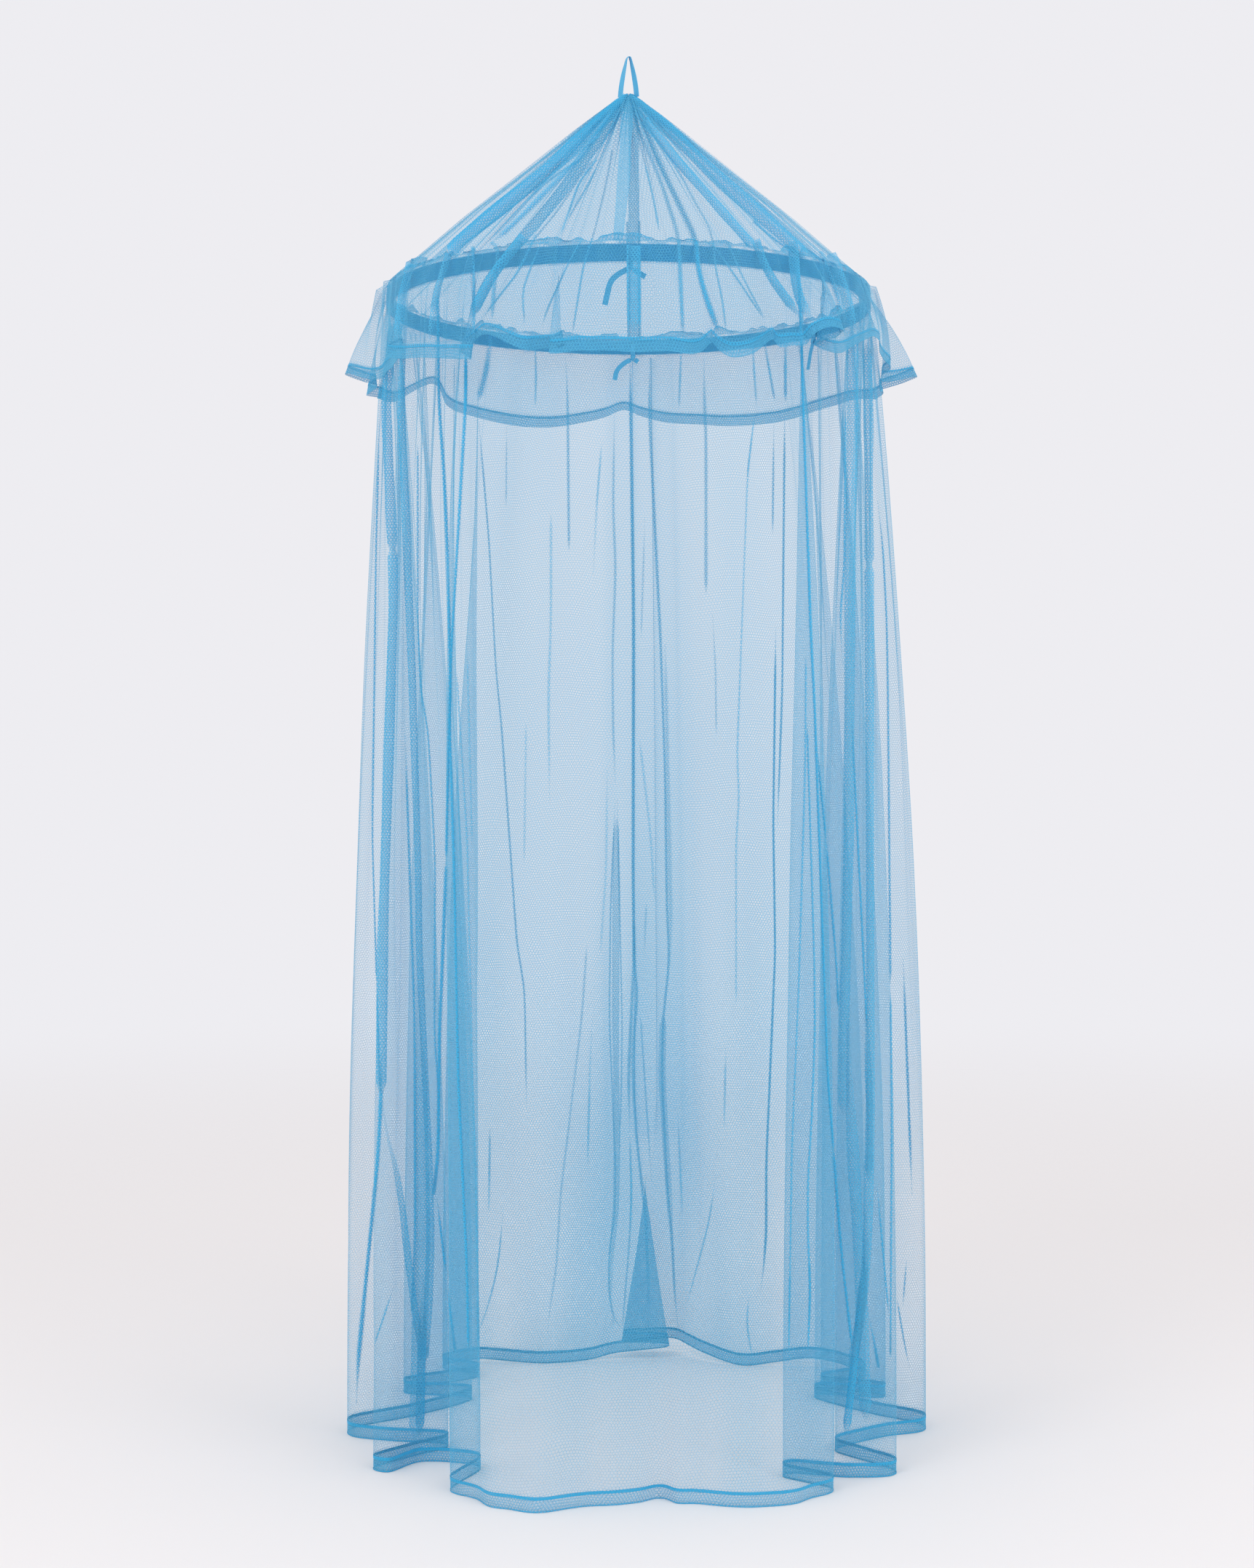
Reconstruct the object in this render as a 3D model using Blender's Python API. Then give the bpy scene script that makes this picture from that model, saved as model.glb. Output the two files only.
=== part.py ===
"""Mosquito net canopy on its hoop, hanging from a tape loop.

Metres, +Z up. The origin is the point where a hook holds the loop, and the floor is HOOK_HEIGHT below it.
Heights in the tables are above the floor. Angles go anticlockwise seen from above, and the front faces -Y.
"""

import math
from collections import namedtuple

import bmesh
import bpy
import numpy as np

# ---------------------------------------------------------------- driving sizes
HOOK_HEIGHT = 2.1365
HOOP_RADIUS = 0.375
HOOP_STRIP = 0.003
HOOP_BOTTOM = 1.739
HOOP_TOP = 1.763

CLOTH = 0.0015
HEM_CLOTH = 0.0026
HEM_DEPTH = 0.021
SEAM_STEP = 0.002
SEAT = 0.0004

# The casing: the net's top goes up outside the hoop, over it, and down inside it as a flap.
CASING_SEAT = 0.0007
CASING_RADIUS = HOOP_RADIUS + CASING_SEAT + CLOTH / 2
FLAP_OUTSIDE = HOOP_RADIUS - HOOP_STRIP - CASING_SEAT
FLAP_INSIDE = FLAP_OUTSIDE - CLOTH
FLAP_DROP = 0.002
FRILL_HEIGHT = 0.0135
FRILL_LEAN = 0.003
FRILL_WAVE = 0.0022
FRILL_WAVES = 19
CROWN_SEAT = 0.0019

# The long net below the casing
CURTAIN_START = HOOP_BOTTOM - 0.006
CURTAIN_LEVELS = (0.30, 0.72, 1.14, 1.46, 1.64, CURTAIN_START)
LIFT_POWER = 6

# The crown's apex, and the valance below the hoop as shares of its drop
APEX_RADIUS = 0.0078
APEX_UNDERSIDE = 2.063
VALANCE_SLOPE_DEG = 66
HEM_SHARE = 0.86
STEP_SHARE = 0.014
VALANCE_MIDDLE = 0.45

TAPE_WIDTH = 0.008
TAPE = 0.0012
LOOP_TAPE_WIDTH = 0.009
LOOP_SEAT = 0.0018
KNOT_HALF = (0.0055, 0.0026, 0.0048)
TIE_RISE = 0.018
TIE_SEAT = 0.0007

# How finely the cloth is divided
CURTAIN_COLUMNS = 156
CROWN_COLUMNS = 126
HOOP_SIDES = 72
STEPS_PER_SPAN = 40
TURN_CROWDING = 0.045
TIP_SHARE = 0.12
SHARP_ANGLE = math.radians(50)

NET_COLOUR = (0.16, 0.45, 0.72)
HOOP_COLOUR = (0.02, 0.20, 0.45)
TAPE_COLOUR = (0.10, 0.36, 0.62)
NET_ROUGHNESS = 0.8
TAPE_ROUGHNESS = 0.6
HOOP_ROUGHNESS = 0.4

# ---------------------------------------------------------------- tables
# The hem of the long net on the floor, anticlockwise from the front. Each row is a fold's tip or a point of a
# panel: where its cloth leaves the hoop, where it lands, half the width of the turn at a tip (0 elsewhere), the
# hem's height above the floor, and how far it sways outward halfway down.
Hem = namedtuple("Hem", "hoop_deg x y turn lift sway")
CURTAIN_HEM = [
    Hem(-84, 0.038, -0.401, 0.000, 0.000, 0.000),
    Hem(-76, 0.093, -0.410, 0.000, 0.000, 0.000),
    Hem(-66, 0.172, -0.424, 0.000, 0.000, 0.000),
    Hem(-58, 0.238, -0.408, 0.000, 0.000, 0.000),
    Hem(-51, 0.290, -0.346, 0.013, 0.000, 0.004),
    Hem(-46, 0.228, -0.270, 0.009, 0.000, 0.006),
    Hem(-38, 0.318, -0.280, 0.000, 0.000, 0.000),
    Hem(-31, 0.385, -0.262, 0.013, 0.000, 0.000),
    Hem(-20, 0.314, -0.137, 0.011, 0.000, 0.000),
    Hem(-10, 0.392, -0.062, 0.000, 0.000, 0.000),
    Hem(-2, 0.458, -0.012, 0.018, 0.000, 0.000),
    Hem(9, 0.388, 0.075, 0.000, 0.000, 0.000),
    Hem(20, 0.310, 0.188, 0.010, 0.000, 0.000),
    Hem(27, 0.418, 0.186, 0.010, 0.000, 0.000),
    Hem(34, 0.322, 0.250, 0.009, 0.000, 0.000),
    Hem(42, 0.398, 0.316, 0.012, 0.004, 0.000),
    Hem(50, 0.318, 0.402, 0.000, 0.011, 0.000),
    Hem(58, 0.250, 0.402, 0.000, 0.004, 0.000),
    Hem(66, 0.195, 0.398, 0.000, 0.000, 0.000),
    Hem(74, 0.130, 0.446, 0.000, 0.012, 0.000),
    Hem(80, 0.080, 0.508, 0.008, 0.022, 0.000),
    Hem(84, -0.010, 0.485, 0.007, 0.022, 0.000),
    Hem(89, 0.068, 0.464, 0.007, 0.020, 0.000),
    Hem(96, -0.026, 0.444, 0.000, 0.010, 0.000),
    Hem(104, -0.066, 0.432, 0.000, 0.002, 0.000),
    Hem(112, -0.150, 0.413, 0.000, 0.000, 0.000),
    Hem(121, -0.262, 0.428, 0.010, 0.004, 0.000),
    Hem(128, -0.316, 0.372, 0.010, 0.004, 0.000),
    Hem(135, -0.256, 0.322, 0.010, 0.000, 0.000),
    Hem(147, -0.366, 0.216, 0.014, 0.000, 0.000),
    Hem(157, -0.258, 0.172, 0.011, 0.000, 0.000),
    Hem(169, -0.345, 0.058, 0.000, 0.000, 0.000),
    Hem(181, -0.430, -0.036, 0.021, 0.000, 0.000),
    Hem(189, -0.358, -0.086, 0.000, 0.000, 0.000),
    Hem(196, -0.276, -0.112, 0.009, 0.000, 0.000),
    Hem(204, -0.322, -0.172, 0.000, 0.000, 0.000),
    Hem(211, -0.362, -0.246, 0.014, 0.000, 0.000),
    Hem(218, -0.306, -0.200, 0.000, 0.000, 0.012),
    Hem(226, -0.222, -0.226, 0.012, 0.000, 0.030),
    Hem(234, -0.252, -0.352, 0.012, 0.000, 0.018),
    Hem(242, -0.200, -0.412, 0.000, 0.000, 0.000),
    Hem(250, -0.136, -0.440, 0.000, 0.000, 0.000),
    Hem(262, -0.040, -0.424, 0.000, 0.000, 0.000),
]

# The hem of the valance, anticlockwise from the front: where its cloth passes the hoop, where the hem is, and
# half the width of the turn where it doubles back.
Valance = namedtuple("Valance", "hoop_deg hem_deg radius height turn")
VALANCE_HEM = [
    Valance(-92, -92, 0.428, 1.603, 0.0),
    Valance(-79, -79, 0.430, 1.603, 0.0),
    Valance(-74, -74, 0.412, 1.612, 0.0),
    Valance(-68, -69, 0.440, 1.597, 0.0),
    Valance(-62, -61, 0.414, 1.630, 0.0),
    Valance(-54, -54, 0.440, 1.612, 0.0),
    Valance(-47, -40, 0.456, 1.626, 0.007),
    Valance(-41, -49, 0.432, 1.634, 0.007),
    Valance(-34, -37, 0.408, 1.636, 0.0),
    Valance(-24, -18, 0.448, 1.628, 0.006),
    Valance(-18, -24, 0.420, 1.634, 0.006),
    Valance(-10, -12, 0.420, 1.636, 0.0),
    Valance(2, 2, 0.452, 1.639, 0.0),
    Valance(16, 16, 0.446, 1.638, 0.0),
    Valance(28, 28, 0.455, 1.637, 0.0),
    Valance(40, 40, 0.446, 1.640, 0.0),
    Valance(50, 50, 0.438, 1.622, 0.0),
    Valance(65, 65, 0.442, 1.621, 0.0),
    Valance(79, 79, 0.436, 1.631, 0.0),
    Valance(91, 91, 0.430, 1.650, 0.0),
    Valance(100, 100, 0.440, 1.632, 0.0),
    Valance(112, 112, 0.442, 1.618, 0.0),
    Valance(126, 126, 0.436, 1.626, 0.0),
    Valance(136, 135, 0.432, 1.640, 0.0),
    Valance(142, 142, 0.414, 1.668, 0.0),
    Valance(149, 150, 0.444, 1.636, 0.0),
    Valance(162, 162, 0.440, 1.628, 0.0),
    Valance(176, 179, 0.446, 1.639, 0.0),
    Valance(190, 196, 0.436, 1.634, 0.007),
    Valance(197, 189, 0.412, 1.632, 0.007),
    Valance(206, 208, 0.424, 1.618, 0.0),
    Valance(220, 220, 0.440, 1.606, 0.0),
    Valance(234, 236, 0.440, 1.597, 0.0),
    Valance(241, 241, 0.416, 1.622, 0.0),
    Valance(249, 252, 0.434, 1.618, 0.006),
    Valance(254, 248, 0.412, 1.612, 0.006),
    Valance(260, 261, 0.428, 1.603, 0.0),
]

# The crown from its apex to the hoop's level: distance from the axis and height of the cloth's middle.
Profile = namedtuple("Profile", "radius height")
CROWN_PROFILE = [
    Profile(0.0085, 2.0762),
    Profile(0.0170, 2.0700),
    Profile(0.0880, 2.0195),
    Profile(0.1800, 1.9500),
    Profile(0.2630, 1.8890),
    Profile(0.3300, 1.8270),
    Profile(0.3700, 1.7890),
    Profile(0.3925, 1.7610),
]

# The crown's main folds: soft ridges that run from the apex to the hoop, with their half width and height there.
Fold = namedtuple("Fold", "at_deg half_deg height")
CROWN_FOLDS = [
    Fold(-93, 5, 0.006),
    Fold(-66, 7, 0.007),
    Fold(-47, 6, 0.010),
    Fold(-30, 7, 0.008),
    Fold(-9, 8, 0.009),
    Fold(12, 6, 0.007),
    Fold(31, 7, 0.008),
    Fold(52, 6, 0.006),
    Fold(70, 7, 0.005),
    Fold(88, 5, 0.008),
    Fold(108, 7, 0.006),
    Fold(129, 6, 0.007),
    Fold(148, 7, 0.009),
    Fold(169, 7, 0.010),
    Fold(188, 6, 0.009),
    Fold(207, 7, 0.008),
    Fold(226, 6, 0.008),
    Fold(246, 7, 0.006),
]

# The half width of the hanging loop's middle line and the tape's turn about it, against the depth below the hook.
LoopStep = namedtuple("LoopStep", "depth half_width turn_deg")
LOOP_STEPS = [
    LoopStep(-0.0006, 0.0000, 14),
    LoopStep(0.0012, 0.0022, 16),
    LoopStep(0.0050, 0.0036, 20),
    LoopStep(0.0120, 0.0050, 28),
    LoopStep(0.0220, 0.0072, 40),
    LoopStep(0.0340, 0.0094, 50),
    LoopStep(0.0480, 0.0115, 55),
    LoopStep(0.0618, 0.0128, 56),
]

# The ties: place on the hoop, and the ends that hang from the knot as steps along the hoop, out and up.
Tie = namedtuple("Tie", "name hoop_deg long_end short_end")
Step = namedtuple("Step", "along out up")
TIES = [
    Tie(
        "tie_front",
        -89.6,
        [
            Step(-0.004, 0.000, -0.003),
            Step(-0.018, 0.001, -0.011),
            Step(-0.028, 0.002, -0.022),
            Step(-0.033, 0.002, -0.040),
            Step(-0.036, 0.003, -0.054),
        ],
        [Step(0.004, 0.000, -0.003), Step(0.012, -0.002, -0.008), Step(0.021, -0.003, -0.013)],
    ),
    Tie(
        "tie_back",
        88.8,
        [
            Step(0.004, 0.000, -0.003),
            Step(0.016, -0.001, -0.010),
            Step(0.027, -0.002, -0.022),
            Step(0.031, -0.003, -0.038),
        ],
        [Step(-0.003, 0.000, -0.003), Step(-0.009, -0.001, -0.007)],
    ),
    Tie(
        "tie_right",
        34.0,
        [
            Step(0.002, 0.000, -0.004),
            Step(0.006, -0.001, -0.018),
            Step(0.009, -0.002, -0.034),
            Step(0.011, -0.003, -0.046),
        ],
        [Step(-0.003, 0.000, -0.003), Step(-0.008, -0.001, -0.006)],
    ),
]

# ---------------------------------------------------------------- curves
def unit(vector):
    return vector / np.linalg.norm(vector)


def blend(first, second, start, end, at):
    return first + (second - first) * (at - start) / (end - start)


def row_at(rows, index, period):
    """A row of a closed table. Each time round adds the period, which keeps the angles rising."""
    return rows[index % len(rows)] + period * (index // len(rows))


def widen_turns(rows, turns, period):
    """Each fold's tip becomes two points, one on either side of the fold, so that the curve goes round it."""
    found = []
    for index, turn in enumerate(turns):
        row = rows[index]
        if turn == 0:
            found.append(row)
            continue
        before = row_at(rows, index - 1, period)
        after = row_at(rows, index + 1, period)
        inward = unit(unit(before[:2] - row[:2]) + unit(after[:2] - row[:2]))
        across = np.array([-inward[1], inward[0]])
        if np.dot(across, before[:2] - row[:2]) < 0:
            across = -across
        for neighbour, side in ((before, turn), (after, -turn)):
            point = row + (neighbour - row) * TIP_SHARE
            point[:2] = row[:2] + across * side
            found.append(point)
    return np.array(found)


def spline(rows, period):
    """Closed centripetal Catmull-Rom curve through the rows, whose first two columns set its speed."""
    found = []
    for index in range(len(rows)):
        p0, p1, p2, p3 = (row_at(rows, index + step, period) for step in (-1, 0, 1, 2))
        knots = [0.0]
        for first, second in ((p0, p1), (p1, p2), (p2, p3)):
            knots.append(knots[-1] + math.sqrt(np.linalg.norm(second[:2] - first[:2])))
        for at in np.linspace(knots[1], knots[2], STEPS_PER_SPAN, endpoint=False):
            a1 = blend(p0, p1, knots[0], knots[1], at)
            a2 = blend(p1, p2, knots[1], knots[2], at)
            a3 = blend(p2, p3, knots[2], knots[3], at)
            b1 = blend(a1, a2, knots[0], knots[2], at)
            b2 = blend(a2, a3, knots[1], knots[3], at)
            found.append(blend(b1, b2, knots[1], knots[2], at))
    found.append(found[0] + period)
    return np.array(found)


def crowd_at_turns(curve, columns):
    """Columns along a dense closed curve, closer together where it bends, and not too far apart at the hoop."""
    steps = np.diff(curve[:, :2], axis=0)
    heading = np.unwrap(np.arctan2(steps[:, 1], steps[:, 0]))
    bend = np.abs(np.diff(heading, append=heading[-1]))
    at_hoop = np.radians(np.diff(curve[:, 2])) * HOOP_RADIUS
    lengths = np.linalg.norm(steps, axis=1) + TURN_CROWDING * bend + at_hoop
    measure = np.concatenate([[0.0], np.cumsum(lengths)])
    wanted = np.linspace(0, measure[-1], columns, endpoint=False)
    return np.stack([np.interp(wanted, measure, column) for column in curve.T], axis=1)


def columns_of(rows, turns, columns):
    """A hem's columns: x, y, the angle at which the cloth passes the hoop, then the table's other values."""
    period = np.zeros(rows.shape[1])
    period[2] = 360
    return crowd_at_turns(spline(widen_turns(rows, turns, period), period), columns)


def around(degrees, radius):
    angles = np.radians(degrees)
    return np.stack([np.cos(angles) * radius, np.sin(angles) * radius], axis=1)


def plan_normals(points):
    """Unit normals in plan of a closed anticlockwise ring, pointing away from its inside."""
    along = np.roll(points, -1, axis=0) - np.roll(points, 1, axis=0)
    normals = np.stack([along[:, 1], -along[:, 0]], axis=1)
    return normals / np.linalg.norm(normals, axis=1)[:, None]


def ring(plan, heights):
    """Points in the part's frame from a plan and heights above the floor."""
    levels = np.broadcast_to(heights, len(plan)) - HOOK_HEIGHT
    return np.column_stack([plan, levels])


# ---------------------------------------------------------------- meshes
def add_object(name, points, faces, colour, roughness, metallic=0.0):
    mesh = bpy.data.meshes.new(name)
    mesh.from_pydata([tuple(point) for point in points], [], faces)
    material = bpy.data.materials.new(name)
    material.use_nodes = True
    shader = material.node_tree.nodes["Principled BSDF"]
    shader.inputs["Base Color"].default_value = (*colour, 1.0)
    shader.inputs["Roughness"].default_value = roughness
    shader.inputs["Metallic"].default_value = metallic
    mesh.materials.append(material)
    obj = bpy.data.objects.new(name, mesh)
    bpy.context.scene.collection.objects.link(obj)
    return obj


def ring_faces(columns, rings, joined):
    """Triangles between rings that follow each other, and between the last and the first where they are joined.

    The first half of the rings is one side of a sheet and the second half, in the opposite order, its other side.
    Both sides are split along the same diagonals, so that they stay parallel where the sheet twists.
    """
    faces = []
    for lower in range(rings if joined else rings - 1):
        upper = (lower + 1) % rings
        for left in range(columns):
            right = (left + 1) % columns
            low, high = lower * columns, upper * columns
            if lower < rings // 2:
                faces.append((low + left, low + right, high + right))
                faces.append((low + left, high + right, high + left))
            else:
                faces.append((low + left, low + right, high + left))
                faces.append((low + right, high + right, high + left))
    return faces


def smooth(obj):
    obj.data.shade_smooth()
    obj.data.set_sharp_from_angle(angle=SHARP_ANGLE)


def ribbon(name, middles, across, normals, width, thickness):
    """A closed strip of tape along its middle line."""
    side = across * width / 2
    face = normals * thickness / 2
    corners = [middles - side - face, middles + side - face, middles + side + face, middles - side + face]
    points = np.stack(corners, axis=1).reshape(-1, 3)
    faces = [(3, 2, 1, 0)]
    for step in range(len(middles) - 1):
        low, high = step * 4, step * 4 + 4
        for corner in range(4):
            following = (corner + 1) % 4
            faces.append((low + corner, low + following, high + following, high + corner))
    last = len(points) - 4
    faces.append((last, last + 1, last + 2, last + 3))
    return add_object(name, points, faces, TAPE_COLOUR, TAPE_ROUGHNESS)


# ---------------------------------------------------------------- hoop
def make_hoop():
    degrees = np.arange(HOOP_SIDES) * 360 / HOOP_SIDES
    outside = around(degrees, HOOP_RADIUS)
    inside = around(degrees, HOOP_RADIUS - HOOP_STRIP)
    rings = [ring(outside, HOOP_BOTTOM), ring(outside, HOOP_TOP), ring(inside, HOOP_TOP), ring(inside, HOOP_BOTTOM)]
    hoop = add_object("hoop", np.concatenate(rings), ring_faces(HOOP_SIDES, 4, True), HOOP_COLOUR, HOOP_ROUGHNESS)
    smooth(hoop)


# ---------------------------------------------------------------- curtain
def curtain_level(columns, height, thickness, side):
    """One ring of the long net: a circle under the hoop that opens into the folded hem on the floor."""
    fallen = (CURTAIN_START - height) / CURTAIN_START
    spread = 1 - (1 - fallen) ** 2
    circle = around(columns[:, 2], CASING_RADIUS)
    plan = circle * (1 - spread) + columns[:, :2] * spread
    plan += circle / CASING_RADIUS * (columns[:, 4] * math.sin(math.pi * spread))[:, None]
    plan += plan_normals(plan) * side * thickness / 2
    return ring(plan, height + columns[:, 3] * fallen**LIFT_POWER)


def frill_top(degrees):
    """The frill's middle radius and its height, kept just under the crown that rests on it."""
    angles = np.radians(degrees)
    radius = CASING_RADIUS - FRILL_LEAN + FRILL_WAVE * np.sin(FRILL_WAVES * angles + np.sin(5 * angles))
    wanted = HOOP_TOP + FRILL_HEIGHT * (1 + 0.45 * np.sin(7 * angles + 1) * np.sin(3 * angles))
    return radius, np.minimum(wanted, crown_height(radius + CLOTH) - CROWN_SEAT)


def make_curtain():
    rows = np.array([(row.x, row.y, row.hoop_deg, row.lift, row.sway) for row in CURTAIN_HEM])
    columns = columns_of(rows, [row.turn for row in CURTAIN_HEM], CURTAIN_COLUMNS)
    levels = [(0.0, HEM_CLOTH), (HEM_DEPTH, HEM_CLOTH), (HEM_DEPTH + SEAM_STEP, CLOTH)]
    levels += [(height, CLOTH) for height in CURTAIN_LEVELS]
    degrees = columns[:, 2]
    half = CLOTH / 2
    roof = HOOP_TOP + SEAT
    frill_radius, frill_height = frill_top(degrees)
    flap_end = HOOP_BOTTOM - FLAP_DROP
    casing = [
        (CASING_RADIUS + half, roof),
        (frill_radius + half, frill_height),
        (frill_radius - half, frill_height),
        (CASING_RADIUS - half - CLOTH, roof + CLOTH),
        (FLAP_INSIDE, roof + CLOTH),
        (FLAP_INSIDE, flap_end),
        (FLAP_OUTSIDE, flap_end),
        (FLAP_OUTSIDE, roof),
        (CASING_RADIUS - half, roof),
    ]
    rings = [curtain_level(columns, height, thickness, 1) for height, thickness in levels]
    rings += [ring(around(degrees, radius), height) for radius, height in casing]
    rings += [curtain_level(columns, height, thickness, -1) for height, thickness in reversed(levels)]
    faces = ring_faces(CURTAIN_COLUMNS, len(rings), True)
    smooth(add_object("net_curtain", np.concatenate(rings), faces, NET_COLOUR, NET_ROUGHNESS))


# ---------------------------------------------------------------- crown and valance
def crown_height(radius):
    """Height of the middle of the crown's cloth at a distance from the axis, without its folds."""
    return np.interp(radius, [step.radius for step in CROWN_PROFILE], [step.height for step in CROWN_PROFILE])


def crown_folds(degrees):
    """How far the folds stand out of the cone at the hoop."""
    total = np.zeros(len(degrees))
    for fold in CROWN_FOLDS:
        apart = (degrees - fold.at_deg + 180) % 360 - 180
        near = np.clip(np.abs(apart) / fold.half_deg, 0, 1)
        total += fold.height * np.cos(near * math.pi / 2) ** 2
    return total


def crown_level(plan, heights, slope, thickness, side):
    """One ring of the crown, half the cloth's thickness to one side of its middle."""
    reach = side * thickness / 2
    return ring(plan + plan_normals(plan) * math.sin(slope) * reach, heights + math.cos(slope) * reach)


def crown_rings(columns, side):
    """The crown's rings on its outer or inner side, from the valance's hem up to the apex."""
    degrees = columns[:, 2]
    folds = crown_folds(degrees)
    brim = CROWN_PROFILE[-1]
    drops = [
        (1.0, HEM_CLOTH),
        (HEM_SHARE, HEM_CLOTH),
        (HEM_SHARE - STEP_SHARE, CLOTH),
        (VALANCE_MIDDLE, CLOTH),
    ]
    rings = []
    for drop, thickness in drops:
        plan = around(degrees, brim.radius) * (1 - drop) + columns[:, :2] * drop
        plan += plan_normals(plan) * (folds * (1 - drop))[:, None]
        heights = brim.height + (columns[:, 3] - brim.height) * drop
        rings.append(crown_level(plan, heights, math.radians(VALANCE_SLOPE_DEG), thickness, side))
    radii = np.array([step.radius for step in CROWN_PROFILE])
    heights = np.array([step.height for step in CROWN_PROFILE])
    slopes = np.arctan2(-np.gradient(heights), np.gradient(radii))
    for radius, height, slope in reversed(list(zip(radii, heights, slopes))):
        lift = folds * radius / brim.radius
        plan = around(degrees, radius + lift * math.sin(slope))
        rings.append(crown_level(plan, height + lift * math.cos(slope), slope, CLOTH, side))
    return rings


def make_crown():
    rows = []
    for row in VALANCE_HEM:
        x, y = around([row.hem_deg], row.radius)[0]
        rows.append((x, y, row.hoop_deg, row.height))
    columns = columns_of(np.array(rows), [row.turn for row in VALANCE_HEM], CROWN_COLUMNS)
    inner = crown_rings(columns, -1)
    inner[-1] = ring(around(columns[:, 2], APEX_RADIUS), APEX_UNDERSIDE)
    rings = inner[::-1] + crown_rings(columns, 1)
    faces = ring_faces(CROWN_COLUMNS, len(rings), False)
    first_cap = range(CROWN_COLUMNS)
    last_cap = range((len(rings) - 1) * CROWN_COLUMNS, len(rings) * CROWN_COLUMNS)
    faces.append(tuple(reversed(first_cap)))
    faces.append(tuple(last_cap))
    smooth(add_object("net_crown", np.concatenate(rings), faces, NET_COLOUR, NET_ROUGHNESS))


# ---------------------------------------------------------------- loop and ties
def make_hanging_loop():
    steps = [(step.depth, -step.half_width, step.turn_deg) for step in reversed(LOOP_STEPS)]
    steps += [(step.depth, step.half_width, -step.turn_deg) for step in LOOP_STEPS[1:]]
    middles = np.array([(x, 0.0, -depth) for depth, x, turn in steps])
    along = np.gradient(middles, axis=0)
    across = []
    normals = []
    for tangent, (depth, x, turn_deg) in zip(along, steps):
        tangent = unit(tangent)
        edge = unit(np.cross(tangent, (0, 1, 0)))
        turn = math.radians(turn_deg)
        across.append(np.array([0, 1, 0]) * math.cos(turn) + edge * math.sin(turn))
        normals.append(np.cross(tangent, across[-1]))
    middles[:, 2] += TAPE / 2
    loop = ribbon("hanging_loop", middles, np.array(across), np.array(normals), LOOP_TAPE_WIDTH, TAPE)
    corners = list(loop.data.vertices)
    for corner in corners[:4] + corners[-4:]:
        from_axis = math.hypot(corner.co.x, corner.co.y)
        corner.co.z = crown_height(from_axis) + LOOP_SEAT - HOOK_HEIGHT


def tie_end(name, centre, axes, steps):
    """A tape that hangs from the knot, flat against the hoop's curve."""
    middles = np.array([centre + axes.T @ np.array(step) for step in steps])
    along = np.gradient(middles, axis=0)
    normals = np.tile(axes[1], (len(steps), 1))
    across = np.array([unit(np.cross(normal, tangent)) for normal, tangent in zip(normals, along)])
    return ribbon(name, middles, across, normals, TAPE_WIDTH, TAPE)


def make_tie(tie):
    """A tape sewn down the casing's inner side, knotted under the hoop, with its free ends."""
    angle = math.radians(tie.hoop_deg)
    radial = np.array([math.cos(angle), math.sin(angle), 0])
    tangent = np.array([-math.sin(angle), math.cos(angle), 0])
    axes = np.array([tangent, radial, (0, 0, 1)])
    radius = FLAP_INSIDE - TIE_SEAT - TAPE / 2
    knot_height = HOOP_BOTTOM - FLAP_DROP - SEAT - KNOT_HALF[2]
    centre = radial * radius + np.array([0, 0, knot_height - HOOK_HEIGHT])
    knot = add_knot(tie.name, centre - radial * KNOT_HALF[1] / 2, axes)
    sewn = [(0, 0, KNOT_HALF[2] + TIE_RISE), (0, 0, 0)]
    for suffix, steps in (("sewn", sewn), ("long", tie.long_end), ("short", tie.short_end)):
        start = centre - radial * (0 if suffix == "sewn" else KNOT_HALF[1] / 2)
        tape = tie_end(tie.name + "_" + suffix, start, axes, steps)
        tape.hide_render = True
        tape.display_type = "WIRE"
        union = knot.modifiers.new(suffix, "BOOLEAN")
        union.operation = "UNION"
        union.solver = "EXACT"
        union.object = tape


def add_knot(name, centre, axes):
    form = bmesh.new()
    bmesh.ops.create_icosphere(form, subdivisions=2, radius=1)
    points = [centre + axes.T @ (np.array(vertex.co) * KNOT_HALF) for vertex in form.verts]
    faces = [tuple(vertex.index for vertex in face.verts) for face in form.faces]
    form.free()
    return add_object(name, points, faces, TAPE_COLOUR, TAPE_ROUGHNESS)


def main():
    for obj in list(bpy.data.objects):
        bpy.data.objects.remove(obj)
    make_hoop()
    make_curtain()
    make_crown()
    make_hanging_loop()
    for tie in TIES:
        make_tie(tie)


main()
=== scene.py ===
import math
from collections import namedtuple

import bpy
import numpy as np
from mathutils import Matrix, Vector


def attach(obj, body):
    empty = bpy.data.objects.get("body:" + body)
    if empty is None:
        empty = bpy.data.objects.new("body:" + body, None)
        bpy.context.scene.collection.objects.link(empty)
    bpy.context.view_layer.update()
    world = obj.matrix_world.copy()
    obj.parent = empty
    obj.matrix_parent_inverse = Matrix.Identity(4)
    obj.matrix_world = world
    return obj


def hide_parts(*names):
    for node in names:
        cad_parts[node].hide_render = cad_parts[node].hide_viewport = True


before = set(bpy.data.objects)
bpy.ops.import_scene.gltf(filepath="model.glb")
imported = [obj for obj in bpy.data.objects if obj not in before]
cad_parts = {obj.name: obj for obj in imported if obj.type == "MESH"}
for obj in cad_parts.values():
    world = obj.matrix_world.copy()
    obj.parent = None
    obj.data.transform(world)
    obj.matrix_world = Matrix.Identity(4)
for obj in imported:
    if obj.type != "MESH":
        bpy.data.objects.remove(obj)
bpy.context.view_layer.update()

# ---------------------------------------------------------------- the source's driving sizes
# In metres and degrees. Heights are above the floor, and the frame's origin is HOOK_HEIGHT up.
HOOK_HEIGHT = 2.1365
HOOP_RADIUS = 0.375
HOOP_STRIP = 0.003
HOOP_BOTTOM = 1.739
HOOP_TOP = 1.763
CLOTH = 0.0015
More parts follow.
